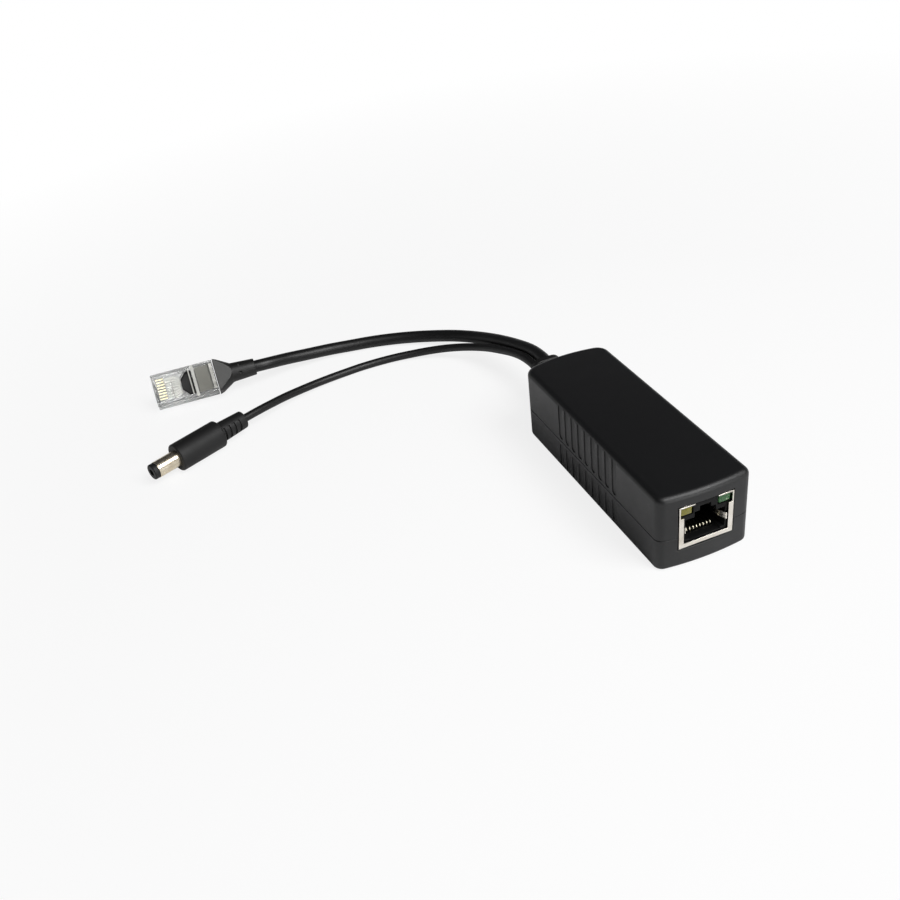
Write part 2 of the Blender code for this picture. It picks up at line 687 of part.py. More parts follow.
def jack_contacts(parent):
    """Spring arms, each bent round a knee at the front, on which it swings."""
    arc = []
    sweep = math.pi - ARM_RISE
    for step in range(2 * ARC_STEPS + 1):
        angle = -math.pi / 2 - sweep * step / (2 * ARC_STEPS)
        arc.append((KNEE_RADIUS * math.cos(angle), KNEE_RADIUS * math.sin(angle)))
    end_y = arc[-1][0] + ARM_LENGTH * math.cos(ARM_RISE)
    end_z = arc[-1][1] + ARM_LENGTH * math.sin(ARM_RISE)
    path = [(0, y, z) for y, z in arc + [(end_y, end_z)]]
    for number, x in enumerate(contact_row(), start=1):
        tube(f"jack_contact_{number}", path, CONTACT_WIRE, 1, "gold", parent, (x, KNEE_Y, KNEE_Z))


def jack_pin_block(parent):
    """Fixed pins: runs in the insert's trough, a bar that holds them, and tails down to the board."""
    half = contact_half_span() + CONTACT_WIRE
    bar_front = PIN_BLOCK_REAR - PIN_BLOCK_DEPTH
    bar_rear = PIN_BLOCK_REAR
    run_z = KNEE_Z - KNEE_RADIUS
    bar_bottom = run_z - CONTACT_WIRE
    bar = box(bmesh.new(), (-half, bar_front, bar_bottom), (half, bar_rear, bar_bottom + PIN_BLOCK_HEIGHT))
    block = solid("jack_pin_block", bar, "gold", parent)
    pins = bmesh.new()
    tails = bmesh.new()
    radius = CONTACT_WIRE / 2
    middle = (bar_front + bar_rear) / 2
    for x in contact_row():
        box(pins, (x - radius, KNEE_Y + FIT, run_z - radius), (x + radius, middle, run_z + radius))
        box(tails, (x - radius, middle - radius, BOARD_TOP + FIT), (x + radius, middle + radius, run_z))
    combine(block, "UNION", "block_runs", pins)
    combine(block, "UNION", "block_tails", tails)


def ground_springs(parent):
    """Bowed side springs that touch the plug's shell; each swings at the front frame."""
    steps = 2 * ARC_STEPS
    for name, side in (("ground_spring_left", -1), ("ground_spring_right", 1)):
        path = []
        for step in range(steps + 1):
            share = step / steps
            path.append((-side * SPRING_BULGE * math.sin(math.pi * 0.92 * share), SPRING_REACH * share))
        near = [(x + SHEET / 2, y) for x, y in path]
        far = [(x - SHEET / 2, y) for x, y in reversed(path)]
        strip = prism(bmesh.new(), near + far, -SPRING_WIDTH / 2, SPRING_WIDTH / 2)
        hinge_x = side * (JACK_WIDTH / 2 - FRAME_SIDE - FIT - SHEET / 2)
        hinge = (hinge_x, JACK_FRONT + SHEET / 2, JACK_BOTTOM + SPRING_HEIGHT)
        solid(name, strip, "nickel", parent, hinge)


# Circuit board

def board_rows():
    """Middles of the four rows of parts, spread evenly from the jack's pins to the cords' ends."""
    depths = (MAGNETICS_SIZE[1], CHIP_SIZE[1], WINDING_LENGTH, 2 * CAPACITOR_RADIUS)
    room = TAIL_LANDING_Y - ETHERNET_CORD / 2 - PIN_BLOCK_REAR
    gap = (room - sum(depths)) / (len(depths) + 1)
    middles = []
    front = PIN_BLOCK_REAR
    for depth in depths:
        middles.append(front + gap + depth / 2)
        front += gap + depth
    return middles


def on_board(size, x, y):
    """Block of a component that stands on the board."""
    bottom = BOARD_TOP + FIT
    return box(bmesh.new(), (x - size[0] / 2, y - size[1] / 2, bottom),
               (x + size[0] / 2, y + size[1] / 2, bottom + size[2]))


def can(name, radius, height, spot, parent):
    """Upright capacitor can with a rounded rim."""
    bm = bmesh.new()
    middle = Matrix.Translation((*spot, BOARD_TOP + FIT + height / 2))
    bmesh.ops.create_cone(bm, cap_ends=True, segments=5 * ARC_STEPS, radius1=radius, radius2=radius,
                          depth=height, matrix=middle)
    round_edges(solid(name, bm, "can", parent), radius / 10)


def transformer(parent, y):
    """Power transformer beside the capacitor: a ferrite ring with its winding through the window."""
    width = BOARD_WIDTH - 2 * PART_EDGE_GAP - 2 * CAPACITOR_RADIUS - PART_GAP
    depth = CORE_DEPTH
    height = CORE_HEIGHT
    x = BOARD_WIDTH / 2 - PART_EDGE_GAP - width / 2
    base = BOARD_TOP + FIT
    core = solid("power_transformer_core", on_board((width, depth, height), x, y), "ferrite", parent)
    half_window = width / 2 - CORE_LEG
    reach = depth / 2 + CUT_OVERSHOOT
    window = box(bmesh.new(), (x - half_window, y - reach, base + CORE_LEG),
                 (x + half_window, y + reach, base + height - CORE_LEG))
    combine(core, "DIFFERENCE", "core_window", window)
    coil_height = height - 2 * CORE_LEG - 2 * FIT
    coil = rounded_rectangle(2 * (half_window - FIT), coil_height, coil_height / 4)
    middle = shift(coil, x, base + height / 2)
    winding = prism(bmesh.new(), middle, y - WINDING_LENGTH / 2, y + WINDING_LENGTH / 2, "Y")
    solid("power_transformer_winding", winding, "winding_tape", parent)


def board(parent):
    """Board on the case's bosses, with the parts that separate data and power."""
    outline = rounded_rectangle(BOARD_WIDTH, BOARD_REAR - BOARD_FRONT, BOARD_CORNER)
    middle = shift(outline, 0, (BOARD_REAR + BOARD_FRONT) / 2)
    solid("circuit_board", prism(bmesh.new(), middle, BOARD_BOTTOM, BOARD_TOP), "board", parent)
    magnetics_y, bridge_y, input_y, output_y = board_rows()
    magnetics = solid("lan_magnetics", on_board(MAGNETICS_SIZE, 0, magnetics_y), "component", parent)
    round_edges(magnetics, LED_EDGE)
    edge = BOARD_WIDTH / 2 - PART_EDGE_GAP
    bridge_x = edge - BRIDGE_SIZE[0] / 2
    for number, x in enumerate((-bridge_x, bridge_x), start=1):
        bridge = solid(f"bridge_rectifier_{number}", on_board(BRIDGE_SIZE, x, bridge_y), "component", parent)
        round_edges(bridge, LED_EDGE)
    solid("controller_chip", on_board(CHIP_SIZE, 0, bridge_y), "component", parent)
    transformer(parent, input_y)
    can_x = CAPACITOR_RADIUS - edge
    can("input_capacitor", CAPACITOR_RADIUS, INPUT_CAPACITOR_HEIGHT, (can_x, input_y), parent)
    can("output_capacitor", CAPACITOR_RADIUS, OUTPUT_CAPACITOR_HEIGHT, (can_x, output_y), parent)
    inductor_x = edge - INDUCTOR_RADIUS
    can("output_inductor", INDUCTOR_RADIUS, INDUCTOR_HEIGHT, (inductor_x, output_y), parent)
    diode_x = (can_x + CAPACITOR_RADIUS + inductor_x - INDUCTOR_RADIUS) / 2
    solid("output_diode", on_board(DIODE_SIZE, diode_x, output_y), "component", parent)


def cord_tails(parent):
    """Ends of both cords inside the case, from the strain relief down to the board."""
    start_y = CASE_LENGTH / 2 - CASE_WALL - FLANGE_GAP - FLANGE_THICKNESS - FIT
    foot = BOARD_TOP + FIT
    jobs = (("ethernet_tail", ETHERNET_CORD, ETHERNET_EXIT), ("dc_tail", DC_CORD, DC_EXIT))
    for name, diameter, (x, above) in jobs:
        top = RELIEF_Z + above
        bend = smooth_route([(x, start_y - TAIL_STRAIGHT, top), (x, TAIL_LANDING_Y, (top + foot) / 2),
                             (x, TAIL_LANDING_Y, foot)], diameter / 3)
        tube(name, [(x, start_y, top)] + bend, diameter, 2, "cord_jacket", parent)


# Pigtail

def relief_ring(y, width, height, radius):
    """One section of the strain relief."""
    return [(x, y, RELIEF_Z + z) for x, z in rounded_rectangle(width, height, radius)]


def strain_relief(parent):
    """Rubber relief: a flange inside the wall, a neck through it and a ribbed boot outside."""
    inner = CASE_LENGTH / 2 - CASE_WALL - FLANGE_GAP
    flange = (RELIEF_WIDTH, RELIEF_HEIGHT, RELIEF_CORNER)
    neck = (NECK_WIDTH, NECK_HEIGHT, NECK_CORNER)
    sections = [(inner - FLANGE_THICKNESS, flange), (inner, flange), (inner, neck), (RELIEF_FRONT, neck)]
    collar_start = RELIEF_END - RELIEF_COLLAR
    rib_pitch = (collar_start - RELIEF_FRONT) / RELIEF_RIBS
    groove = tuple(size - 2 * RELIEF_TAPER for size in flange[:2]) + (RELIEF_CORNER - RELIEF_TAPER,)
    for rib in range(RELIEF_RIBS):
        start = RELIEF_FRONT + rib * rib_pitch
        stop = start + rib_pitch - RELIEF_GROOVE
        sections += [(start, flange), (stop, flange), (stop, groove), (start + rib_pitch, groove)]
    sections += [(collar_start, flange), (RELIEF_END, flange)]
    rings = [relief_ring(y, *size) for y, size in sections]
    solid("strain_relief", loft(bmesh.new(), rings), "rubber", parent)


def cords(plug, power):
    """Both free cords, each from the strain relief to the end of its plug."""
    start_y = RELIEF_END + FIT
    jobs = (
        ("ethernet_cord", ETHERNET_CORD, ETHERNET_EXIT, ETHERNET_ROUTE, plug, BOOT_REAR, 3),
        ("dc_cord", DC_CORD, DC_EXIT, DC_ROUTE, power, SLEEVE_REAR, 2),
    )
    for name, diameter, exit_at, route, frame, rear, resolution in jobs:
        start = (exit_at[0], start_y, RELIEF_Z + exit_at[1])
        stop = frame @ Vector((rear + FIT, 0, 0))
        path = smooth_route([start] + route + [stop], diameter)
        tube(name, path, diameter, resolution, "cord_jacket")


# Data plug

def plug_row_boxes(x_low, x_high, thickness, z_low, z_high):
    """One upright slice for each contact of the plug."""
    bm = bmesh.new()
    for y in contact_row():
        box(bm, (x_low, y - thickness / 2, z_low), (x_high, y + thickness / 2, z_high))
    return bm


def plug_body(parent):
    """Clear shell of the plug: blade slots, wire slot, jacket cavity and the two windows."""
    half = PLUG_WIDTH / 2
    face = PLUG_THICKNESS / 2
    body = solid("rj45_plug_body", box(bmesh.new(), (0, -half, -face), (PLUG_LENGTH, half, face)),
                 "clear_plastic", parent)
    round_edges(body, PLUG_EDGE)
    wide = JACKET_WIDTH / 2 + FIT
    tall = JACKET_HEIGHT / 2 + FIT
    cavity_start = JACKET_START - FIT
    cavity = box(bmesh.new(), (cavity_start, -wide, -tall), (PLUG_LENGTH + CUT_OVERSHOOT, wide, tall))
    combine(body, "DIFFERENCE", "plug_jacket_cavity", cavity)
    slot_half = contact_half_span() - CONTACT_WIRE / 2 + WIRE_DIAMETER / 2 + FIT
    slot_tall = WIRE_DIAMETER / 2 + FIT
    slot = box(bmesh.new(), (BLADE_SETBACK, -slot_half, -slot_tall),
               (cavity_start + CUT_OVERSHOOT, slot_half, slot_tall))
    combine(body, "DIFFERENCE", "plug_wire_slot", slot)
    blade_slots = plug_row_boxes(BLADE_SETBACK - FIT, BLADE_SETBACK + BLADE_LENGTH + FIT,
                                 BLADE_THICKNESS + FIT, 0, face + CUT_OVERSHOOT)
    combine(body, "DIFFERENCE", "plug_blade_slots", blade_slots)
    plug_windows(body, face)


def plug_windows(body, face):
    """Crimp window over the jacket's nose, shallow window behind it, and a score line."""
    nose = JACKET_NOSE_WIDTH / 2
    half = WINDOW_WIDTH / 2
    start = JACKET_START
    stop = start + CRIMP_WINDOW_LENGTH
    shoulder = start + JACKET_SHOULDER
    outline = [(start, -nose), (shoulder, -half), (stop, -half), (stop, half), (shoulder, half), (start, nose)]
    above = face + CUT_OVERSHOOT
    combine(body, "DIFFERENCE", "plug_crimp_window", prism(bmesh.new(), outline, JACKET_HEIGHT / 2, above))
    rear = box(bmesh.new(), (REAR_WINDOW_START, -half, face - REAR_WINDOW_DEPTH),
               (REAR_WINDOW_START + REAR_WINDOW_LENGTH, half, above))
    combine(body, "DIFFERENCE", "plug_rear_window", rear)
    line = box(bmesh.new(), (GROOVE_LINE_X, -nose - half / 3, face - GROOVE_LINE_SIZE),
               (GROOVE_LINE_X + GROOVE_LINE_SIZE, nose + half / 3, above))
    combine(body, "DIFFERENCE", "plug_score_line", line)


def ribbon_outline():
    """Conductors side by side, fused where they touch: a row of arcs above and below."""
    radius = WIRE_DIAMETER / 2
    open_angle = math.acos(min(CONTACT_PITCH / 2 / radius, 1.0))
    upper = []
    for y in contact_row():
        for step in range(ARC_STEPS + 1):
            angle = math.pi - open_angle - (math.pi - 2 * open_angle) * step / ARC_STEPS
            upper.append((y + radius * math.cos(angle), radius * math.sin(angle)))
    joints = [upper[0]]
    for spot in upper[1:]:
        if math.dist(spot, joints[-1]) > FIT / 10:
            joints.append(spot)
    return joints + [(y, -z) for y, z in reversed(joints)]


def plug_contents(parent):
    """Blades, conductors and the flattened cord jacket inside the clear shell."""
    top = PLUG_THICKNESS / 2 - BLADE_DEPTH
    low = (BLADE_SETBACK, -BLADE_THICKNESS / 2, top - BLADE_HEIGHT)
    high = (BLADE_SETBACK + BLADE_LENGTH, BLADE_THICKNESS / 2, top)
    for number, y in enumerate(contact_row(), start=1):
        solid(f"rj45_blade_{number}", box(bmesh.new(), low, high), "gold", parent, (0, y, 0))
    ribbon = prism(bmesh.new(), ribbon_outline(), BLADE_SETBACK + FIT, JACKET_START - FIT, "X")
    solid("rj45_conductors", ribbon, "wire", parent)
    corner = JACKET_HEIGHT / 3
    sections = ((JACKET_START, JACKET_NOSE_WIDTH), (JACKET_START + JACKET_SHOULDER, JACKET_WIDTH),
                (PLUG_LENGTH - FIT, JACKET_WIDTH))
    rings = [[(x, y, z) for y, z in rounded_rectangle(width, JACKET_HEIGHT, corner)] for x, width in sections]
    solid("rj45_cord_end", loft(bmesh.new(), rings), "cord_jacket", parent)


def plug_latch(parent):
    """Springy latch below the plug; its origin is on the hinge at its root."""
    wide = LATCH_WIDTH / 2
    neck = LATCH_NECK_WIDTH / 2
    tail = LATCH_TAIL_WIDTH / 2
    shoulder = LATCH_SHOULDER + wide - neck
    side = [(0, wide), (LATCH_SHOULDER, wide), (LATCH_SHOULDER, neck + (wide - neck) / 2), (shoulder, neck),
            (LATCH_LENGTH, tail)]
    outline = [(x, -y) for x, y in side] + list(reversed(side))
    plate = prism(bmesh.new(), outline, -LATCH_THICKNESS / 2, LATCH_THICKNESS / 2)
    root_z = -PLUG_THICKNESS / 2 - FIT - LATCH_THICKNESS / 2
    solid("rj45_plug_latch", plate, "clear_plastic", parent, (LATCH_ROOT, 0, root_z), (0, LATCH_ANGLE, 0))


def boot_ring(x, radius):
    """Section of the boot: a rectangle whose corners are cut by a circle."""
    count = 8 * ARC_STEPS
    ring = []
    for step in range(count):
        angle = 2 * math.pi * step / count
        across = abs(math.cos(angle))
        upright = abs(math.sin(angle))
        reach = min(radius, BOOT_WIDTH / 2 / max(across, FIT), BOOT_THICKNESS / 2 / max(upright, FIT))
        ring.append((x, reach * math.cos(angle), reach * math.sin(angle)))
    return ring


def plug_boot(parent):
    """Moulded boot that narrows from the plug to a round sleeve with small holes."""
    waist = BOOT_FRONT + BOOT_TAPER
    widest = math.hypot(BOOT_WIDTH, BOOT_THICKNESS) / 2
    rings = []
    for step in range(ARC_STEPS + 1):
        share = step / ARC_STEPS
        rings.append(boot_ring(BOOT_FRONT + BOOT_TAPER * share, widest + (BOOT_NECK / 2 - widest) * share))
    rings.append(boot_ring(BOOT_REAR, BOOT_END / 2))
    boot = solid("rj45_plug_boot", loft(bmesh.new(), rings), "boot_plastic", parent)
    holes = bmesh.new()
    for side in (-1, 1):
        for y in (-BOOT_HOLE_SPAN / 2, BOOT_HOLE_SPAN / 2):
            spot = Matrix.Translation((waist + BOOT_HOLE_SETBACK, y, side * BOOT_THICKNESS / 2))
            bmesh.ops.create_cone(holes, cap_ends=True, segments=2 * ARC_STEPS, radius1=BOOT_HOLE / 2,
                                  radius2=BOOT_HOLE / 2, depth=2 * BOOT_HOLE_DEPTH, matrix=spot)
    combine(boot, "DIFFERENCE", "boot_holes", holes)


# Power plug

def sleeve_slots():
    """Part-round slots on both sides of the sleeve, which let it bend."""
    bm = bmesh.new()
    pitch = (SLEEVE_LENGTH - SLEEVE_COLLAR - SLEEVE_SLOT_WIDTH - FIT) / (SLEEVE_SLOTS - 1)
    for side in (-1, 1):
        for slot in range(SLEEVE_SLOTS):
            rear = SLEEVE_REAR - SLEEVE_COLLAR - slot * pitch
            share = (SLEEVE_REAR - rear) / SLEEVE_LENGTH
            floor = SLEEVE_END_RADIUS + (SLEEVE_RADIUS - SLEEVE_END_RADIUS) * share - SLEEVE_SLOT_DEPTH
            out = SLEEVE_RADIUS + CUT_OVERSHOOT
            rings = []
            for step in range(2 * ARC_STEPS + 1):
                angle = SLEEVE_SLOT_SWEEP * (step / (2 * ARC_STEPS) - 0.5)
                y = side * math.cos(angle)
                z = math.sin(angle)
                front = rear - SLEEVE_SLOT_WIDTH
                rings.append([(front, floor * y, floor * z), (rear, floor * y, floor * z),
                              (rear, out * y, out * z), (front, out * y, out * z)])
            loft(bm, rings)
    return bm


def power_grip(parent):
    """Moulded grip with its slotted sleeve, and a socket that holds the barrel."""
    profile = [(0, SLEEVE_REAR), (SLEEVE_END_RADIUS - SLEEVE_EDGE, SLEEVE_REAR),
               (SLEEVE_END_RADIUS, SLEEVE_REAR - SLEEVE_EDGE), (SLEEVE_RADIUS, GRIP_REAR),
               (GRIP_RADIUS - GRIP_EDGE, GRIP_REAR), (GRIP_RADIUS, GRIP_REAR - GRIP_EDGE),
               (GRIP_RADIUS, BARREL_LENGTH + GRIP_EDGE)]
    for step in range(1, ARC_STEPS + 1):
        angle = math.pi / 2 * step / ARC_STEPS
        profile.append((GRIP_RADIUS - GRIP_EDGE * (1 - math.cos(angle)),
                        BARREL_LENGTH + GRIP_EDGE * (1 - math.sin(angle))))
    socket = BARREL_RADIUS + FIT
    floor = BARREL_LENGTH + BARREL_SEAT + FIT
    profile += [(socket, BARREL_LENGTH), (socket, floor), (0, floor)]
    grip = turned("dc_plug_grip", profile, "boot_plastic", parent)
    combine(grip, "DIFFERENCE", "grip_sleeve_slots", sleeve_slots())


def power_contacts(parent):
    """Metal barrel, the insulator that shows at the tip, and the centre contact inside it."""
    seat = BARREL_LENGTH + BARREL_SEAT
    inner = BARREL_RADIUS - BARREL_WALL
    barrel_front = TIP_LENGTH + FIT
    barrel = [(BARREL_RADIUS, seat), (BARREL_RADIUS, barrel_front), (inner, barrel_front), (inner, seat)]
    turned("dc_plug_barrel", barrel, "nickel", parent, closed=True)
    pin_outer = PIN_BORE_RADIUS + PIN_WALL
    bore = pin_outer + FIT
    sleeve = inner - FIT
    rim = BARREL_RADIUS - FIT / 3
    lip = PIN_BORE_RADIUS + FIT / 2
    insulator = [(sleeve, seat - FIT), (sleeve, TIP_LENGTH), (rim, TIP_LENGTH), (rim, TIP_EDGE),
                 (rim - TIP_EDGE, 0), (lip, 0), (lip, PIN_RECESS - FIT), (bore, PIN_RECESS - FIT),
                 (bore, seat - FIT)]
    turned("dc_plug_insulator", insulator, "insert_plastic", parent, closed=True)
    pin = [(pin_outer, seat - 2 * FIT), (pin_outer, PIN_RECESS), (PIN_BORE_RADIUS, PIN_RECESS),
           (PIN_BORE_RADIUS, seat - 2 * FIT)]
    turned("dc_plug_centre_contact", pin, "nickel", parent, closed=True)


def build():
    """Make the whole splitter."""
    case = frame_empty("case_frame", Matrix.Identity(4))
    upper_shell(case)
    lower_shell(case)
    jack_shield(case)
    jack_insert(case)
    jack_lights(case)
    jack_contacts(case)
    jack_pin_block(case)
    ground_springs(case)
    board(case)
    cord_tails(case)
    strain_relief(case)
    lie = Matrix.Rotation(PLUG_HEADING, 4, "Z") @ Matrix.Rotation(PLUG_ROLL, 4, "X")
    plug_matrix = Matrix.Translation(PLUG_TIP) @ lie
    plug = frame_empty("data_plug_frame", plug_matrix)
    plug_body(plug)
    plug_contents(plug)
    plug_latch(plug)
    plug_boot(plug)
    power_matrix = Matrix.Translation(POWER_TIP) @ Matrix.Rotation(POWER_HEADING, 4, "Z")
    power = frame_empty("power_plug_frame", power_matrix)
    power_grip(power)
    power_contacts(power)
    cords(plug_matrix, power_matrix)


build()
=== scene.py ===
"""Looks of an in-line network power splitter: a black two-shell case with a shielded jack, and a pigtail
with a clear data plug and a barrel power plug. Metres, +Z up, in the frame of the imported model."""

import json
import math

import bmesh
import bpy
from mathutils import Matrix, Vector

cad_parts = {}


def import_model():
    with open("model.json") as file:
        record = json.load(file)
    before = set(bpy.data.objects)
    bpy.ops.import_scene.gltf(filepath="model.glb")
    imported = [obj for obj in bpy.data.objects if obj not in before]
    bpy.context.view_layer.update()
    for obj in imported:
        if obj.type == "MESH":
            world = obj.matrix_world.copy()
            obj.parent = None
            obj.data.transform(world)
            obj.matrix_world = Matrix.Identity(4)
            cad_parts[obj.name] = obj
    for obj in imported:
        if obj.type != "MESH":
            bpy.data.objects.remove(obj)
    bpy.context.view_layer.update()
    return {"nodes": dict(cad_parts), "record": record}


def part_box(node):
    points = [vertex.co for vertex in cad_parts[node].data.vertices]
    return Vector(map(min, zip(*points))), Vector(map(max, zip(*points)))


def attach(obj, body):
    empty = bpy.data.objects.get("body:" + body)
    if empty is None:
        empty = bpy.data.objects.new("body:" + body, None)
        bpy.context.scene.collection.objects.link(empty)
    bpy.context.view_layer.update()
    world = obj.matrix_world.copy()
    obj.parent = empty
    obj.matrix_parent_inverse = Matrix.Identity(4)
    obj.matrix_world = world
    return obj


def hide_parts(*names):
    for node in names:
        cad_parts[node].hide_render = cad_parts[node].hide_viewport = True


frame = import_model()
NODES = frame["nodes"]

# Camera, as the photograph was taken
CAMERA_PLACE = (-0.12218, -0.21095, 0.18632)
CAMERA_TURN = (55.82, 7.63, -20.25)
CAMERA_LENS = 40.66
CAMERA_SHIFT = (0.0517, -0.0173)
CAMERA_SENSOR = 36.0
CAMERA_NEAR = 0.005

# Studio
FLOOR_HALF = 6.0
FLOOR_TONE = 0.93
SHADOW_ENDS = (0.16, 0.45)
SHADOW_WHITE = 0.82
MIRROR_ENDS = (0.35, 1.20)
HORIZON = (0.04, (0.95, 0.95, 0.95, 1.0))
CEILING = (0.20, (0.05, 0.05, 0.055, 1.0))
WORLD_LEVELS = (("Is Transmission Ray", 0.3), ("Is Camera Ray", 1.0))
LAMP_TARGET = (-0.05, 0.05, 0.0)
LAMPS = [
    ("key_box", (0.34, -0.52, 0.78), 0.55, 8.0),
    ("top_panel", (-0.09, -0.44, 0.83), 0.75, 2.0),
    ("front_box", (0.32, -0.95, 0.20), 0.40, 2.4),
]

# Case
CASE_LOW, CASE_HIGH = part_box("upper_shell")
CASE_WIDTH = CASE_HIGH.x - CASE_LOW.x
CASE_LENGTH = CASE_HIGH.y - CASE_LOW.y
CASE_HEIGHT = CASE_HIGH.z
FIT = 0.0003
SEAM_HEIGHT = CASE_LOW.z - FIT / 2
SEAM_GAP = 0.00012
SEAM_EDGE = 0.00008
CASE_WALL = 0.0020
FRONT_CORNER = 0.0026
REAR_CORNER = 0.0042
FRONT_BOW = 0.0008
REAR_BOW = 0.0012
TOP_FILLET = 0.0018
BOTTOM_FILLET = 0.0012
LIP_THICKNESS = 0.0007
LIP_HEIGHT = 0.0012
GROOVE_COUNT = 9
GROOVE_PITCH = 0.00385
GROOVE_WIDTH = 0.0024
GROOVE_DEPTH = 0.00026
LOWER_GROOVE_DEPTH = 0.00016
GROOVE_MIDDLE_Y = -0.0012
GROOVE_SEAM_MARGIN = 0.0010
SHELL_EDGE = 0.00008
PAST = 0.001

# Jack
SHIELD_LOW, SHIELD_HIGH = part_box("jack_shield")
CONTACT_WIRE = 0.0004
CONTACT_COUNT = 8
CONTACT_PITCH = 0.001016
KNEE_SETBACK = 0.0040
KNEE_HEIGHT = 0.0020
KNEE = Vector((0, SHIELD_LOW.y + KNEE_SETBACK, SHIELD_LOW.z + KNEE_HEIGHT))
KNEE_RADIUS = 0.00055
ARM_LENGTH = 0.0080
ARM_RISE = math.radians(14)
SHIELD_EDGE = 0.00004
INSERT_EDGE = 0.00007
LIGHT_EDGE = 0.00012
SPRING_EDGE = 0.00006

# Strain relief and cords
RELIEF_LOW, RELIEF_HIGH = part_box("strain_relief")
RELIEF_Z = (RELIEF_LOW.z + RELIEF_HIGH.z) / 2
RELIEF_SIZE = (RELIEF_HIGH.x - RELIEF_LOW.x, RELIEF_HIGH.z - RELIEF_LOW.z)
RELIEF_CORNER = 0.0032
RELIEF_COLLAR = 0.0024
RELIEF_TAPER = 0.0006
RELIEF_RIBS = 3
RELIEF_GROOVE = 0.0009
RELIEF_SOFT = 0.00025
NECK_SIZE = (0.0084, 0.0064)
NECK_CORNER = 0.0028
FLANGE_THICKNESS = 0.0022
ETHERNET_CORD = 0.0044
DC_CORD = 0.0028
CORD_SEAT = 0.0005
ETHERNET_EXIT = (0.0014, RELIEF_HIGH.y + FIT, RELIEF_Z + 0.0002)
DC_EXIT = (-0.0022, RELIEF_HIGH.y + FIT, RELIEF_Z - 0.0008)
ETHERNET_ROUTE = [
    (0.0015, 0.0580, 0.01260), (0.0010, 0.0646, 0.01210), (-0.0005, 0.0714, 0.01110),
    (-0.0026, 0.0790, 0.00970), (-0.0051, 0.0867, 0.00800), (-0.0082, 0.0943, 0.00620),
    (-0.0124, 0.1013, 0.00470), (-0.0179, 0.1074, 0.00350), (-0.0244, 0.1124, 0.00280),
    (-0.0318, 0.1163, 0.00245), (-0.0397, 0.1190, 0.00240), (-0.0478, 0.1205, 0.00260),
    (-0.0561, 0.1210, 0.00330), (-0.0643, 0.1204, 0.00430), (-0.0720, 0.1192, 0.00560),
    (-0.0772, 0.1178, 0.00665), (-0.0815, 0.1169, 0.00735),
]
DC_ROUTE = [
    (-0.0022, 0.0580, 0.01165), (-0.0027, 0.0638, 0.01130), (-0.0039, 0.0697, 0.01040),
    (-0.0057, 0.0756, 0.00910), (-0.0078, 0.0816, 0.00765), (-0.0106, 0.0873, 0.00610),
    (-0.0142, 0.0922, 0.00480), (-0.0188, 0.0964, 0.00370), (-0.0241, 0.0997, 0.00280),
    (-0.0300, 0.1022, 0.00210), (-0.0362, 0.1038, 0.00175), (-0.0426, 0.1045, 0.00160),
    (-0.0490, 0.1045, 0.00160), (-0.0553, 0.1039, 0.00165), (-0.0616, 0.1028, 0.00190),
    (-0.0678, 0.1012, 0.00230), (-0.0739, 0.0990, 0.00290), (-0.0798, 0.0963, 0.00370),
    (-0.0853, 0.0934, 0.00440), (-0.0908, 0.0906, 0.00490),
]

# Data plug
PLUG_FRAME = (Matrix.Translation((-0.1218, 0.1189, 0.0075))
              @ Matrix.Rotation(math.radians(-3), 4, "Z") @ Matrix.Rotation(math.radians(48), 4, "X"))
PLUG_LENGTH = 0.0222
PLUG_THICKNESS = 0.0066
PLUG_WIDTH = 0.0117
REAR_WINDOW_DEPTH = 0.0009
WINDOW_WIDTH = 0.0094
JACKET_HEIGHT = 0.0034
CRIMP_BAR = (0.0131, 0.0135)
CRIMP_RECESS = (0.0143, 0.0153)
REAR_RECESS = (0.0208, 0.0219)
RECESS_DEPTH = 0.00015
SCORE_LINE = (0.0065, 0.0067)
SCORE_SPAN = (-0.0046, 0.0019)
SCORE_DEPTH = 0.0003
BLADE_SETBACK = 0.0013
BLADE_LENGTH = 0.0028
BLADE_THICKNESS = 0.0007
BLADE_HEIGHT = 0.0018
BLADE_DEPTH = 0.0005
BLADE_EDGE = 0.00005
JACKET_START = 0.0099
WIRE_DIAMETER = 0.00095
WIRE_NOSE_PITCH = 0.00054
FAN_START = 0.0028
FAN_MIDDLE = 0.0012
CORD_END_EDGE = 0.0001
LATCH_EDGE = 0.0001
BOOT_FRONT = PLUG_LENGTH + FIT
BOOT_TAPER = 0.0058
BOOT_SLEEVE = 0.0086
BOOT_WIDTH = 0.0118
BOOT_THICKNESS = 0.0072
BOOT_NECK = 0.0070
BOOT_END = 0.0060
BOOT_EDGE = 0.0003
BOOT_SOFT = 0.00012
BOOT_SOFT_ANGLE = 18
BOOT_HOLE = 0.0009
BOOT_HOLE_SPAN = 0.0030
BOOT_HOLE_DEPTH = 0.0014
BOOT_HOLE_SETBACK = 0.0030
BOOT_REAR = BOOT_FRONT + BOOT_TAPER + BOOT_SLEEVE

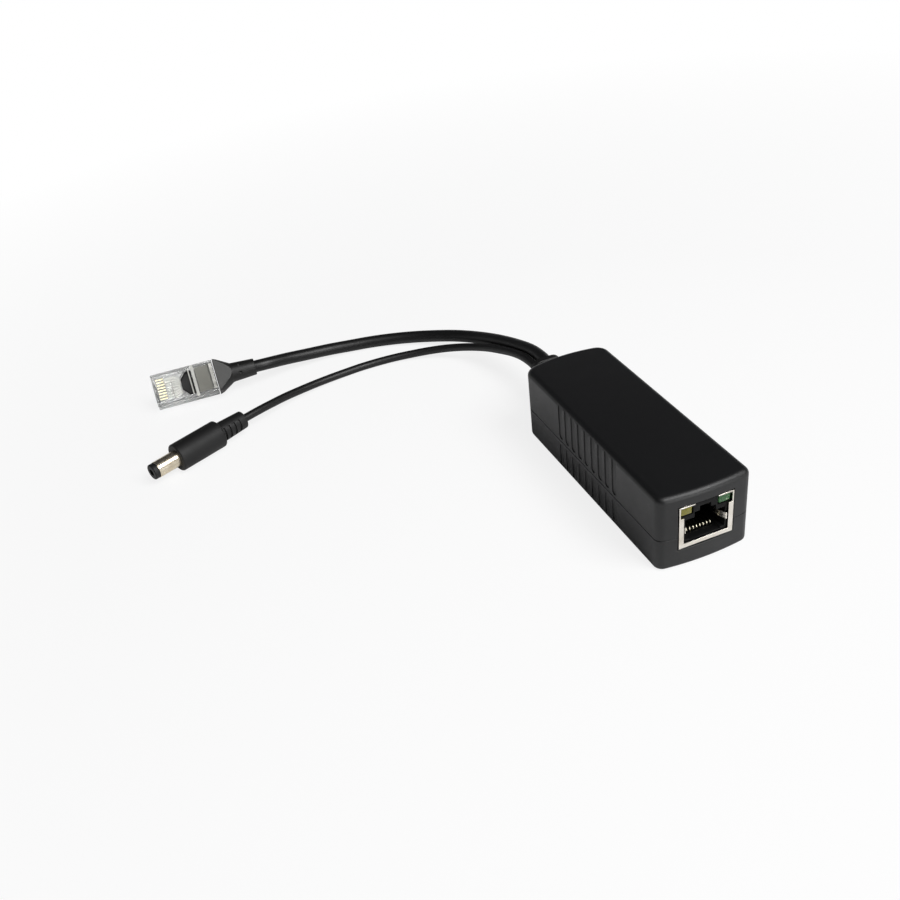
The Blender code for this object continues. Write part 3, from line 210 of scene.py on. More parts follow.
# Power plug
POWER_FRAME = Matrix.Translation((-0.1304, 0.0729, 0.0050)) @ Matrix.Rotation(math.radians(24.1), 4, "Z")
BARREL_LENGTH = 0.0096
BARREL_RADIUS = 0.00275
BARREL_WALL = 0.00055
BARREL_SEAT = 0.0037
BARREL_END = BARREL_LENGTH + BARREL_SEAT
BARREL_BORE = BARREL_RADIUS - BARREL_WALL
BARREL_FIT = FIT / 6
BARREL_EDGE = 0.00006
TIP_LENGTH = 0.0017
TIP_EDGE = 0.0004
PIN_BORE_RADIUS = 0.00105
PIN_WALL = 0.00025
PIN_RECESS = 0.0009
PIN_RADIUS = PIN_BORE_RADIUS + PIN_WALL
GRIP_RADIUS = 0.0048
GRIP_LENGTH = 0.0173
GRIP_EDGE = 0.0006
GRIP_SOFT = 0.00008
GRIP_REAR = BARREL_LENGTH + GRIP_LENGTH
SLEEVE_LENGTH = 0.0102
SLEEVE_RADIUS = 0.0035
SLEEVE_END_RADIUS = 0.0031
SLEEVE_SLOTS = 4
SLEEVE_SLOT_WIDTH = 0.0009
SLEEVE_SLOT_DEPTH = 0.0006
SLEEVE_SLOT_SWEEP = math.radians(94)
SLEEVE_COLLAR = 0.0027
SLEEVE_EDGE = 0.0004
SLEEVE_REAR = GRIP_REAR + SLEEVE_LENGTH

# Fineness of shapes
ARC = 10
TURN = 96
TURNED_SHARP = 30
ROUTE_STEPS = 12
MERGE = 0.000001
FACE_TOLERANCE = FIT / 10

# Sockets of a colour mix
MIX_FIRST, MIX_SECOND, MIX_RESULT = 6, 7, 2


# Shader node groups

def new_group(name, inputs, outputs):
    """Empty shader group with named float inputs and outputs."""
    tree = bpy.data.node_groups.new(name, "ShaderNodeTree")
    for label, value in inputs:
        socket = tree.interface.new_socket(label, in_out="INPUT", socket_type="NodeSocketFloat")
        socket.default_value = value
    for label in outputs:
        tree.interface.new_socket(label, in_out="OUTPUT", socket_type="NodeSocketFloat")
    return tree, tree.nodes.new("NodeGroupInput"), tree.nodes.new("NodeGroupOutput")


def feed(tree, socket, value):
    """Link a socket to another one, or give it a plain value."""
    if isinstance(value, bpy.types.NodeSocket):
        tree.links.new(value, socket)
    else:
        socket.default_value = value


def noise(tree, vector, scale, detail):
    """Noise texture; scale is a socket to link or a number."""
    node = tree.nodes.new("ShaderNodeTexNoise")
    node.inputs["Detail"].default_value = detail
    tree.links.new(vector, node.inputs["Vector"])
    feed(tree, node.inputs["Scale"], scale)
    return node.outputs["Fac"]


def remap(tree, value, low, high, new_low, new_high):
    """Map a value from one range to another, clamped."""
    node = tree.nodes.new("ShaderNodeMapRange")
    tree.links.new(value, node.inputs["Value"])
    for label, limit in (("From Min", low), ("From Max", high), ("To Min", new_low), ("To Max", new_high)):
        feed(tree, node.inputs[label], limit)
    return node.outputs["Result"]


def combine_values(tree, operation, first, second):
    """Math on two sockets, or on a socket and a number."""
    node = tree.nodes.new("ShaderNodeMath")
    node.operation = operation
    tree.links.new(first, node.inputs[0])
    feed(tree, node.inputs[1], second)
    return node.outputs[0]


def object_coordinates(tree):
    """Places on the surface in metres."""
    return tree.nodes.new("ShaderNodeTexCoord").outputs["Object"]


def moulded_grain_group():
    """Spark-eroded grain of moulded plastic, and the slow mottling over it."""
    tree, given, made = new_group("moulded_grain", [("Grain Scale", 5200.0), ("Mottle Scale", 90.0)],
                                  ["Height", "Mottle"])
    place = object_coordinates(tree)
    tree.links.new(noise(tree, place, given.outputs["Grain Scale"], 2.0), made.inputs["Height"])
    slow = noise(tree, place, given.outputs["Mottle Scale"], 4.0)
    tree.links.new(remap(tree, slow, 0.32, 0.68, 0.0, 1.0), made.inputs["Mottle"])
    return tree


def hairline_group():
    """Fine hairline scuffs from handling, in scattered patches."""
    tree, given, made = new_group("hairline_scuffs", [("Scale", 420.0), ("Width", 0.012)], ["Mask"])
    place = object_coordinates(tree)
    stretch = tree.nodes.new("ShaderNodeMapping")
    stretch.inputs["Rotation"].default_value = (0.4, 0.3, 0.7)
    stretch.inputs["Scale"].default_value = (1.0, 0.16, 0.55)
    tree.links.new(place, stretch.inputs["Vector"])
    lines = noise(tree, stretch.outputs["Vector"], given.outputs["Scale"], 1.0)
    away = combine_values(tree, "ABSOLUTE", combine_values(tree, "SUBTRACT", lines, 0.5), 0.0)
    thin = remap(tree, away, 0.0, given.outputs["Width"], 1.0, 0.0)
    patches = remap(tree, noise(tree, place, 140.0, 3.0), 0.52, 0.66, 0.0, 1.0)
    tree.links.new(combine_values(tree, "MULTIPLY", thin, patches), made.inputs["Mask"])
    return tree


def rubbed_edge_group():
    """Edges polished by rubbing, broken up by noise."""
    tree, given, made = new_group("rubbed_edges", [("Start", 0.515), ("Stop", 0.60)], ["Mask"])
    corner = tree.nodes.new("ShaderNodeNewGeometry").outputs["Pointiness"]
    edge = remap(tree, corner, given.outputs["Start"], given.outputs["Stop"], 0.0, 1.0)
    broken = remap(tree, noise(tree, object_coordinates(tree), 700.0, 3.0), 0.35, 0.65, 0.35, 1.0)
    tree.links.new(combine_values(tree, "MULTIPLY", edge, broken), made.inputs["Mask"])
    return tree


def drawn_lines_group():
    """Fine parallel lines that rolling and stamping leave on sheet metal, with faint cloudy tarnish."""
    inputs = [("Along X", 900.0), ("Along Y", 900.0), ("Along Z", 9000.0)]
    tree, given, made = new_group("drawn_lines", inputs, ["Lines", "Tarnish"])
    place = object_coordinates(tree)
    join = tree.nodes.new("ShaderNodeCombineXYZ")
    for axis, (label, _) in zip("XYZ", inputs):
        tree.links.new(given.outputs[label], join.inputs[axis])
    spread = tree.nodes.new("ShaderNodeVectorMath")
    spread.operation = "MULTIPLY"
    tree.links.new(place, spread.inputs[0])
    tree.links.new(join.outputs["Vector"], spread.inputs[1])
    tree.links.new(noise(tree, spread.outputs["Vector"], 1.0, 2.0), made.inputs["Lines"])
    cloud = noise(tree, place, 260.0, 4.0)
    tree.links.new(remap(tree, cloud, 0.35, 0.70, 0.0, 1.0), made.inputs["Tarnish"])
    return tree


GROUPS = {
    "grain": moulded_grain_group(),
    "hairline": hairline_group(),
    "edge": rubbed_edge_group(),
    "lines": drawn_lines_group(),
}


# Materials

def new_material(name):
    """Material with a Principled shader; returns the material, its tree and the shader."""
    made = bpy.data.materials.new(name)
    made.use_nodes = True
    tree = made.node_tree
    return made, tree, tree.nodes["Principled BSDF"]


def use_group(tree, key, **values):
    """Place a shared group in a material with the material's own values."""
    node = tree.nodes.new("ShaderNodeGroup")
    node.node_tree = GROUPS[key]
    for label, value in values.items():
        node.inputs[label.replace("_", " ")].default_value = value
    return node


def mix_colours(tree, factor, first, second):
    """Colour that goes from first to second with a factor; each is a socket or a colour with alpha."""
    node = tree.nodes.new("ShaderNodeMix")
    node.data_type = "RGBA"
    tree.links.new(factor, node.inputs["Factor"])
    feed(tree, node.inputs[MIX_FIRST], first)
    feed(tree, node.inputs[MIX_SECOND], second)
    return node.outputs[MIX_RESULT]


def tint(tree, factor, first, second):
    """Colour that goes from one plain colour to another with a factor."""
    return mix_colours(tree, factor, (*first, 1.0), (*second, 1.0))


def mix_surface(tree, factor, first, second):
    """Surface of a material that goes from one shader to another with a factor."""
    node = tree.nodes.new("ShaderNodeMixShader")
    tree.links.new(factor, node.inputs["Fac"])
    tree.links.new(first, node.inputs[1])
    tree.links.new(second, node.inputs[2])
    tree.links.new(node.outputs["Shader"], tree.nodes["Material Output"].inputs["Surface"])


def bump(tree, shader, height, strength, distance):
    """Raise the surface by a height value."""
    node = tree.nodes.new("ShaderNodeBump")
    node.inputs["Strength"].default_value = strength
    node.inputs["Distance"].default_value = distance
    tree.links.new(height, node.inputs["Height"])
    tree.links.new(node.outputs["Normal"], shader.inputs["Normal"])


def moulded(name, dark, light, roughness, grain=5200.0, strength=0.25, mottle=90.0, specular=0.5):
    """Moulded plastic or rubber: grain, mottling, scuffs and rubbed edges."""
    made, tree, shader = new_material(name)
    grain_node = use_group(tree, "grain", Grain_Scale=grain, Mottle_Scale=mottle)
    scuffs = use_group(tree, "hairline").outputs["Mask"]
    edges = use_group(tree, "edge").outputs["Mask"]
    tree.links.new(tint(tree, grain_node.outputs["Mottle"], dark, light), shader.inputs["Base Color"])
    base = remap(tree, grain_node.outputs["Mottle"], 0.0, 1.0, roughness + 0.04, roughness - 0.04)
    worn = combine_values(tree, "MULTIPLY", combine_values(tree, "MAXIMUM", scuffs, edges), 0.10)
    tree.links.new(combine_values(tree, "SUBTRACT", base, worn), shader.inputs["Roughness"])
    shader.inputs["Specular IOR Level"].default_value = specular
    bump(tree, shader, grain_node.outputs["Height"], strength, 0.00002)
    return made


def plated(name, dull, bright, roughness):
    """Plated sheet metal with drawn lines, tarnish and rubbed edges."""
    made, tree, shader = new_material(name)
    lines = use_group(tree, "lines")
    edges = use_group(tree, "edge").outputs["Mask"]
    tree.links.new(tint(tree, lines.outputs["Tarnish"], bright, dull), shader.inputs["Base Color"])
    streak = remap(tree, lines.outputs["Lines"], 0.3, 0.7, roughness - 0.06, roughness + 0.06)
    polished = combine_values(tree, "MULTIPLY", edges, 0.06)
    tree.links.new(combine_values(tree, "SUBTRACT", streak, polished), shader.inputs["Roughness"])
    shader.inputs["Metallic"].default_value = 1.0
    bump(tree, shader, lines.outputs["Lines"], 0.12, 0.00001)
    return made


def contact_with_painted_shade(name, dull, bright, roughness):
    """Contact wire: gold at its bend, with painted shade along the arm behind it."""
    made, tree, shader = new_material(name)
    lines = use_group(tree, "lines", Along_X=3000.0, Along_Y=300.0, Along_Z=3000.0)
    split = tree.nodes.new("ShaderNodeSeparateXYZ")
    tree.links.new(object_coordinates(tree), split.inputs["Vector"])
    # Painted shade: behind the knee the arm goes from the bright gold to the dark colour.
    depth = remap(tree, split.outputs["Y"], KNEE.y - KNEE_RADIUS, KNEE.y - KNEE_RADIUS / 4, 0.0, 1.0)
    tree.links.new(tint(tree, depth, bright, dull), shader.inputs["Base Color"])
    tree.links.new(remap(tree, lines.outputs["Lines"], 0.3, 0.7, roughness - 0.06, roughness + 0.06),
                   shader.inputs["Roughness"])
    shader.inputs["Metallic"].default_value = 1.0
    return made


def lens(name, deep, pale):
    """Unlit coloured lens: cloudy body under a glossy skin."""
    made, tree, shader = new_material(name)
    grain_node = use_group(tree, "grain", Grain_Scale=2600.0, Mottle_Scale=420.0)
    tree.links.new(tint(tree, grain_node.outputs["Mottle"], deep, pale), shader.inputs["Base Color"])
    tree.links.new(remap(tree, grain_node.outputs["Mottle"], 0.0, 1.0, 0.16, 0.28),
                   shader.inputs["Roughness"])
    shader.inputs["Subsurface Weight"].default_value = 0.3
    shader.inputs["Subsurface Radius"].default_value = (0.0012, 0.0012, 0.0008)
    bump(tree, shader, grain_node.outputs["Height"], 0.05, 0.00001)
    return made


def clear_plastic(name, roughness, tone):
    """Clear moulded plastic that lets lamp light through, with faint flow marks."""
    made, tree, shader = new_material(name)
    grain_node = use_group(tree, "grain", Grain_Scale=900.0, Mottle_Scale=300.0)
    tree.links.new(tint(tree, grain_node.outputs["Mottle"], tone, (0.97, 0.97, 0.96)),
                   shader.inputs["Base Color"])
    tree.links.new(remap(tree, grain_node.outputs["Mottle"], 0.0, 1.0, roughness, roughness + 0.05),
                   shader.inputs["Roughness"])
    shader.inputs["Transmission Weight"].default_value = 0.9
    shader.inputs["IOR"].default_value = 1.42
    bump(tree, shader, grain_node.outputs["Height"], 0.08, 0.00003)
    through = tree.nodes.new("ShaderNodeBsdfTransparent")
    through.inputs["Color"].default_value = (0.86, 0.87, 0.87, 1.0)
    path = tree.nodes.new("ShaderNodeLightPath")
    mix_surface(tree, path.outputs["Is Shadow Ray"], shader.outputs["BSDF"], through.outputs["BSDF"])
    return made


LOOKS = {
    "case_plastic": moulded("case_plastic", (0.0044, 0.0046, 0.0049), (0.0062, 0.0064, 0.0067), 0.43,
                            specular=0.45),
    "insert_plastic": moulded("insert_plastic", (0.003, 0.003, 0.003), (0.005, 0.005, 0.005), 0.50, 3800.0,
                              specular=0.12),
    "rubber": moulded("rubber", (0.005, 0.005, 0.005), (0.008, 0.008, 0.008), 0.55, 3000.0, specular=0.35),
    "cord_jacket": moulded("cord_jacket", (0.005, 0.005, 0.005), (0.008, 0.008, 0.008), 0.42, 2600.0, 0.2,
                           specular=0.4),
    # The boot's two looks are a lighter and a darker copy of one plastic: painted light on its flat faces
    # and painted shade on its sleeve.
    "boot_plastic": moulded("boot_plastic", (0.012, 0.0125, 0.0105), (0.018, 0.0185, 0.0155), 0.42, 3600.0,
                            specular=0.7),
    "boot_sleeve_painted_shade": moulded("boot_sleeve_painted_shade", (0.006, 0.006, 0.0055), (0.010, 0.010, 0.009), 0.46, 3600.0,
                           specular=0.45),
    "grip_plastic": moulded("grip_plastic", (0.005, 0.005, 0.005), (0.009, 0.009, 0.009), 0.55, 3200.0, 0.4,
                            specular=0.4),
    "nickel_sheet": plated("nickel_sheet", (0.70, 0.65, 0.57), (0.90, 0.86, 0.79), 0.26),
    "barrel_nickel": plated("barrel_nickel", (0.66, 0.57, 0.43), (0.85, 0.77, 0.61), 0.30),
    "gold_contact": plated("gold_contact", (0.92, 0.82, 0.55), (0.98, 0.93, 0.74), 0.26),
    # The contact wire's dark colour is painted shade along its arm behind the bend.
    "contact_wire": contact_with_painted_shade("contact_wire", (0.05, 0.045, 0.03), (0.96, 0.90, 0.70), 0.30),
    "yellow_lens": lens("yellow_lens", (0.12, 0.105, 0.009), (0.21, 0.19, 0.022)),
    "green_lens": lens("green_lens", (0.019, 0.076, 0.023), (0.043, 0.135, 0.046)),
    "clear_plastic": clear_plastic("clear_plastic", 0.03, (0.74, 0.75, 0.74)),
    "frosted_plastic": moulded("frosted_plastic", (0.145, 0.143, 0.122), (0.21, 0.208, 0.182), 0.55, 2200.0,
                               0.5),
    "pale_frost": moulded("pale_frost", (0.42, 0.42, 0.39), (0.62, 0.62, 0.58), 0.50, 2200.0, 0.5),
    "rear_frost": moulded("rear_frost", (0.20, 0.20, 0.18), (0.72, 0.71, 0.66), 0.50, 2200.0, 0.5, 380.0),
    "wire_insulation": moulded("wire_insulation", (0.55, 0.54, 0.50), (0.72, 0.71, 0.68), 0.40, 1800.0),
    "circuit_board": moulded("circuit_board", (0.010, 0.075, 0.030), (0.018, 0.110, 0.045), 0.42, 1500.0),
    "component_body": moulded("component_body", (0.010, 0.010, 0.011), (0.016, 0.016, 0.017), 0.52),
    "ferrite": moulded("ferrite", (0.030, 0.030, 0.033), (0.055, 0.055, 0.058), 0.66, 1800.0, 0.5),
    "winding_tape": moulded("winding_tape", (0.45, 0.34, 0.04), (0.60, 0.46, 0.07), 0.38, 1200.0),
    "capacitor_can": moulded("capacitor_can", (0.030, 0.038, 0.085), (0.045, 0.055, 0.11), 0.34),
}


# Mesh helpers

def new_object(name, data):
    """Put a new object in the scene."""
    obj = bpy.data.objects.new(name, data)
    bpy.context.scene.collection.objects.link(obj)
    return obj


def link_piece(name, data, look, body, nodes):
    """Put a new piece in the scene, on its body, with its finish and the nodes that it stands for."""
    obj = new_object(name, data)
    data.materials.append(LOOKS[look])
    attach(obj, body)
    if nodes:
        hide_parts(*nodes)
    return obj


def mesh_from(name, bm, angle=35):
    """Mesh data with outward faces and smooth shading up to an angle."""
    bmesh.ops.recalc_face_normals(bm, faces=bm.faces)
    mesh = bpy.data.meshes.new(name)
    bm.to_mesh(mesh)
    bm.free()
    mesh.shade_smooth()
    mesh.set_sharp_from_angle(angle=math.radians(angle))
    return mesh


def carve(mesh, operation, *cutters):
    """Mesh after Boolean cuts or unions with each bmesh, one after the other."""
    target = new_object("carve_target", mesh)
    tools = []
    for cutter in cutters:
        tool = new_object("carve_tool", mesh_from("carve_tool", cutter))
        modifier = target.modifiers.new("carve", "BOOLEAN")
        modifier.operation = operation
        modifier.solver = "EXACT"
        modifier.object = tool
        tools.append(tool)
    bpy.context.view_layer.update()
    evaluated = target.evaluated_get(bpy.context.evaluated_depsgraph_get())
    made = bpy.data.meshes.new_from_object(evaluated)
    for obj in [target] + tools:
        bpy.data.objects.remove(obj, do_unlink=True)
    return made


def soften(obj, width, segments=2, angle=40):
    """Round a piece's sharp edges."""
    bevel = obj.modifiers.new("softened", "BEVEL")
    bevel.width = width
    bevel.segments = segments
    bevel.limit_method = "ANGLE"
    bevel.angle_limit = math.radians(angle)
    bevel.use_clamp_overlap = False
    bevel.harden_normals = False
    obj.data.shade_smooth()
    obj.data.set_sharp_from_angle(angle=math.radians(angle))


def along(axis, u, v, w):
    """Put two outline coordinates and one depth on the world axes."""
    if axis == "X":
        return Vector((w, u, v))
    if axis == "Y":
        return Vector((u, w, v))
    return Vector((u, v, w))


def prism(bm, outline, low, high, axis="Z"):
    """Push a flat outline from low to high along an axis."""
    base = bm.faces.new([bm.verts.new(along(axis, u, v, low)) for u, v in outline])
    grown = bmesh.ops.extrude_face_region(bm, geom=[base])
    moved = [item for item in grown["geom"] if isinstance(item, bmesh.types.BMVert)]
    bmesh.ops.translate(bm, verts=moved, vec=along(axis, 0, 0, high - low))
    return bm


def block(bm, low, high):
    """Add a box between two corners."""
    size = Vector(high) - Vector(low)
    middle = (Vector(high) + Vector(low)) / 2
    bmesh.ops.create_cube(bm, size=1.0, matrix=Matrix.Translation(middle) @ Matrix.Diagonal((*size, 1.0)))
    return bm


def loft(bm, rings):
    """Skin a row of rings that all have the same number of points, and close both ends."""
    loops = [[bm.verts.new(point) for point in ring] for ring in rings]
    for near, far in zip(loops, loops[1:]):
        for index in range(len(near)):
            after = (index + 1) % len(near)
            bm.faces.new((near[index], near[after], far[after], far[index]))
    bm.faces.new(loops[0])
    bm.faces.new(loops[-1])
    return bm


def rounded_rectangle(width, height, radius):
    """Outline of a rectangle with rounded corners, counter-clockwise."""
    points = []
    for quarter in range(4):
        corner_u = (width / 2 - radius) * (1 if quarter in (0, 3) else -1)
        corner_v = (height / 2 - radius) * (1 if quarter in (0, 1) else -1)
        for step in range(ARC + 1):
            angle = math.pi / 2 * (quarter + step / ARC)
            points.append((corner_u + radius * math.cos(angle), corner_v + radius * math.sin(angle)))
    return points


def slot_outline(width, low, high):
    """Outline of an upright slot with round ends."""
    points = []
    for end, start in ((high - width / 2, 0.0), (low + width / 2, math.pi)):
        for step in range(2 * ARC + 1):
            angle = start + math.pi * step / (2 * ARC)
            points.append((width / 2 * math.cos(angle), end + width / 2 * math.sin(angle)))
    return points


def turned(profile, closed=False):
    """Turn a profile of (radius, distance along the plug) pairs round the plug's axis."""
    bm = bmesh.new()
    rings = []
    for step in range(TURN):
        angle = 2 * math.pi * step / TURN
        rings.append([bm.verts.new((along_plug, radius * math.cos(angle), radius * math.sin(angle)))
                      for radius, along_plug in profile])
    count = len(profile) if closed else len(profile) - 1
    for ring, after in zip(rings, rings[1:] + rings[:1]):
        for index in range(count):
            other = (index + 1) % len(profile)
            bm.faces.new((ring[index], ring[other], after[other], after[index]))
    bmesh.ops.remove_doubles(bm, verts=bm.verts, dist=2 * MERGE)
    return bm


def rounded_step(centre, radius, start, stop):
    """Arc of a turned profile round a centre of (radius, distance)."""
    points = []
    for step in range(ARC + 1):
        angle = start + (stop - start) * step / ARC
        points.append((centre[0] + radius * math.cos(angle), centre[1] + radius * math.sin(angle)))
    return points


def flat_faced(name, mesh):
    """Copy of a mesh with its triangles merged to flat faces."""
    bm = bmesh.new()
    bm.from_mesh(mesh)
    bmesh.ops.remove_doubles(bm, verts=bm.verts, dist=MERGE)
    bmesh.ops.dissolve_limit(bm, angle_limit=math.radians(1), verts=bm.verts, edges=bm.edges)
    return mesh_from(name, bm)


def refined(node, name, look, body, edge, segments=2):
    """Copy of a solid with flat faces and rounded edges."""
    obj = link_piece(name, flat_faced(name, NODES[node].data), look, body, [node])
    soften(obj, edge, segments)
    return obj


def smooth_route(route, spacing):
    """Read evenly spaced points from a smooth curve through the route's points."""
    spots = [Vector(spot) for spot in route]
    ends = [2 * spots[0] - spots[1]] + spots + [2 * spots[-1] - spots[-2]]
    fine = []
    for before, start, stop, after in zip(ends, ends[1:], ends[2:], ends[3:]):
        for step in range(ROUTE_STEPS):
            t = step / ROUTE_STEPS
            bend = (2 * before - 5 * start + 4 * stop - after) * t ** 2
            twist = (3 * start - before - 3 * stop + after) * t ** 3
            fine.append((2 * start + (stop - before) * t + bend + twist) / 2)
    fine.append(spots[-1])
    lengths = [0.0]
    for near, far in zip(fine, fine[1:]):
        lengths.append(lengths[-1] + (far - near).length)
    count = max(2, round(lengths[-1] / spacing))
    points = []
    for index in range(count + 1):
        target = lengths[-1] * index / count
        span = next(i for i in range(len(fine) - 1) if lengths[i + 1] >= target or i == len(fine) - 2)
        share = (target - lengths[span]) / (lengths[span + 1] - lengths[span])
        points.append(fine[span].lerp(fine[span + 1], min(share, 1.0)))
    return points


def wire(name, path, diameter, look, body, nodes, resolution=6):
    """Round wire or cord along a path, with closed ends."""
    data = bpy.data.curves.new(name, "CURVE")
    data.dimensions = "3D"
    data.bevel_depth = diameter / 2
    data.bevel_resolution = resolution
    data.use_fill_caps = True
    spline = data.splines.new("POLY")
    spline.points.add(len(path) - 1)
    for point, spot in zip(spline.points, path):
        point.co = (*spot, 1.0)
        point.radius = 1.0
    spline.use_smooth = True
    return link_piece(name, data, look, body, nodes)


def contact_row():
    """Sideways places of the contacts."""
    return [(index - (CONTACT_COUNT - 1) / 2) * CONTACT_PITCH for index in range(CONTACT_COUNT)]


# Case

def case_end(half_width, reach, bow, radius):
    """Bowed end that faces -Y, from the left side to the right, with its corner arcs."""
    lean = math.atan2(2 * bow, half_width - radius)
    edge = half_width - radius + radius * math.sin(lean)
    centre_y = -reach + bow + radius * math.cos(lean)
    corner = []
    for step in range(ARC + 1):
        angle = math.pi + (math.pi / 2 - lean) * step / ARC
        corner.append((radius - half_width + radius * math.cos(angle), centre_y + radius * math.sin(angle)))
    face = []
    for step in range(1, 2 * ARC):
        x = edge * (step / ARC - 1)
        face.append((x, -reach + bow * (x / edge) ** 2))
    return corner + face + [(-x, y) for x, y in reversed(corner)]


def case_plan(inset):
    """Plan of the case, drawn in by an inset."""
    half_width = CASE_WIDTH / 2 - inset
    reach = CASE_LENGTH / 2 - inset
    front = case_end(half_width, reach, FRONT_BOW, max(FRONT_CORNER - inset, LIP_THICKNESS))
    rear = case_end(half_width, reach, REAR_BOW, max(REAR_CORNER - inset, LIP_THICKNESS))
    return front + [(-x, -y) for x, y in rear]


def shell_block(seam, rim, fillet, name):
    """Closed block of one shell: a small edge at the seam and a round fillet at the rim."""
    up = 1 if rim > seam else -1
    sections = [(seam, SEAM_EDGE), (seam + up * SEAM_EDGE, 0.0)]
    for step in range(ARC + 1):
        angle = math.pi / 2 * step / ARC
        sections.append((rim - up * fillet * (1 - math.sin(angle)), fillet * (1 - math.cos(angle))))
    rings = [[(x, y, z) for x, y in case_plan(inset)] for z, inset in sections]
    return mesh_from(name, loft(bmesh.new(), rings))


def flutes(low, high, depth):
    """Row of upright flutes on both long sides."""
    bm = bmesh.new()
    outline = slot_outline(GROOVE_WIDTH, low, high)
    for index in range(GROOVE_COUNT):
        middle = GROOVE_MIDDLE_Y + (index - (GROOVE_COUNT - 1) / 2) * GROOVE_PITCH
        for side in (-1, 1):
            bottom = side * (CASE_WIDTH / 2 - depth)
            spots = [(u + middle, v) for u, v in outline]
            prism(bm, spots, bottom, side * (CASE_WIDTH / 2 + PAST), "X")
    return bm


def case_openings():
    """Cutters for the jack's window and the cable's hole."""
    front = -CASE_LENGTH / 2
    rear = CASE_LENGTH / 2
    window = block(bmesh.new(), (SHIELD_LOW.x - FIT, front - PAST, SHIELD_LOW.z - FIT),
                   (SHIELD_HIGH.x + FIT, front + CASE_WALL + FRONT_BOW + PAST, SHIELD_HIGH.z + FIT))
    outline = rounded_rectangle(NECK_SIZE[0] + 2 * FIT, NECK_SIZE[1] + 2 * FIT, NECK_CORNER + FIT)
    spots = [(u, v + RELIEF_Z) for u, v in outline]
    hole = prism(bmesh.new(), spots, rear - CASE_WALL - REAR_BOW - PAST, rear + PAST, "Y")
    return window, hole


def case_shells():
    """Upper and lower shell of the case."""
    top = shell_block(SEAM_HEIGHT + SEAM_GAP / 2, CASE_HEIGHT, TOP_FILLET, "upper_shell_moulding")
    hollow = prism(bmesh.new(), case_plan(CASE_WALL), SEAM_HEIGHT - PAST, CASE_HEIGHT - CASE_WALL)
    rebate_plan = case_plan(CASE_WALL - LIP_THICKNESS - FIT)
    rebate = prism(bmesh.new(), rebate_plan, SEAM_HEIGHT - PAST, SEAM_HEIGHT + LIP_HEIGHT + FIT)
    grooves = flutes(SEAM_HEIGHT + GROOVE_SEAM_MARGIN, CASE_HEIGHT + GROOVE_WIDTH, GROOVE_DEPTH)
    top = carve(top, "DIFFERENCE", hollow, rebate, *case_openings(), grooves)
    upper = link_piece("upper_shell_moulding", top, "case_plastic", "case", ["upper_shell"])
    soften(upper, SHELL_EDGE)
    tray = shell_block(SEAM_HEIGHT - SEAM_GAP / 2, 0.0, BOTTOM_FILLET, "lower_shell_moulding")
    lip_plan = case_plan(CASE_WALL - LIP_THICKNESS)
    lip = prism(bmesh.new(), lip_plan, SEAM_HEIGHT - LIP_HEIGHT, SEAM_HEIGHT + LIP_HEIGHT)
    tray = carve(tray, "UNION", lip)
    hollow = prism(bmesh.new(), case_plan(CASE_WALL), CASE_WALL, SEAM_HEIGHT + LIP_HEIGHT + PAST)
    grooves = flutes(-GROOVE_WIDTH, SEAM_HEIGHT - GROOVE_SEAM_MARGIN, LOWER_GROOVE_DEPTH)
    tray = carve(tray, "DIFFERENCE", hollow, *case_openings(), grooves)
    lower = link_piece("lower_shell_moulding", tray, "case_plastic", "case", ["lower_shell"])
    soften(lower, SHELL_EDGE)


# Jack

def jack():
    """Shield, insert, lights, ground springs and contact wires of the jack."""
    refined("jack_shield", "jack_shield_stamping", "nickel_sheet", "case", SHIELD_EDGE)
    refined("jack_insert", "jack_insert_moulding", "insert_plastic", "case", INSERT_EDGE)
    refined("led_yellow", "yellow_light", "yellow_lens", "case", LIGHT_EDGE, 3)
    refined("led_green", "green_light", "green_lens", "case", LIGHT_EDGE, 3)
    for side in ("left", "right"):
        refined(f"ground_spring_{side}", f"{side}_ground_finger", "nickel_sheet",
                f"{side}_ground_spring", SPRING_EDGE)
    sweep = math.pi - ARM_RISE
    arc = []
    for step in range(2 * ARC + 1):
        angle = -math.pi / 2 - sweep * step / (2 * ARC)
        arc.append((KNEE_RADIUS * math.cos(angle), KNEE_RADIUS * math.sin(angle)))
    last = arc[-1]
    arc.append((last[0] + ARM_LENGTH * math.cos(ARM_RISE), last[1] + ARM_LENGTH * math.sin(ARM_RISE)))
    for number, x in enumerate(contact_row(), start=1):
        path = [KNEE + Vector((x, y, z)) for y, z in arc]
        wire(f"jack_contact_wire_{number}", path, CONTACT_WIRE, "contact_wire", "jack_contacts",
             [f"jack_contact_{number}"], 4)


# Pigtail

def relief_section(y, size, radius):
    """One section of the strain relief."""
    return [(x, y, RELIEF_Z + z) for x, z in rounded_rectangle(*size, radius)]


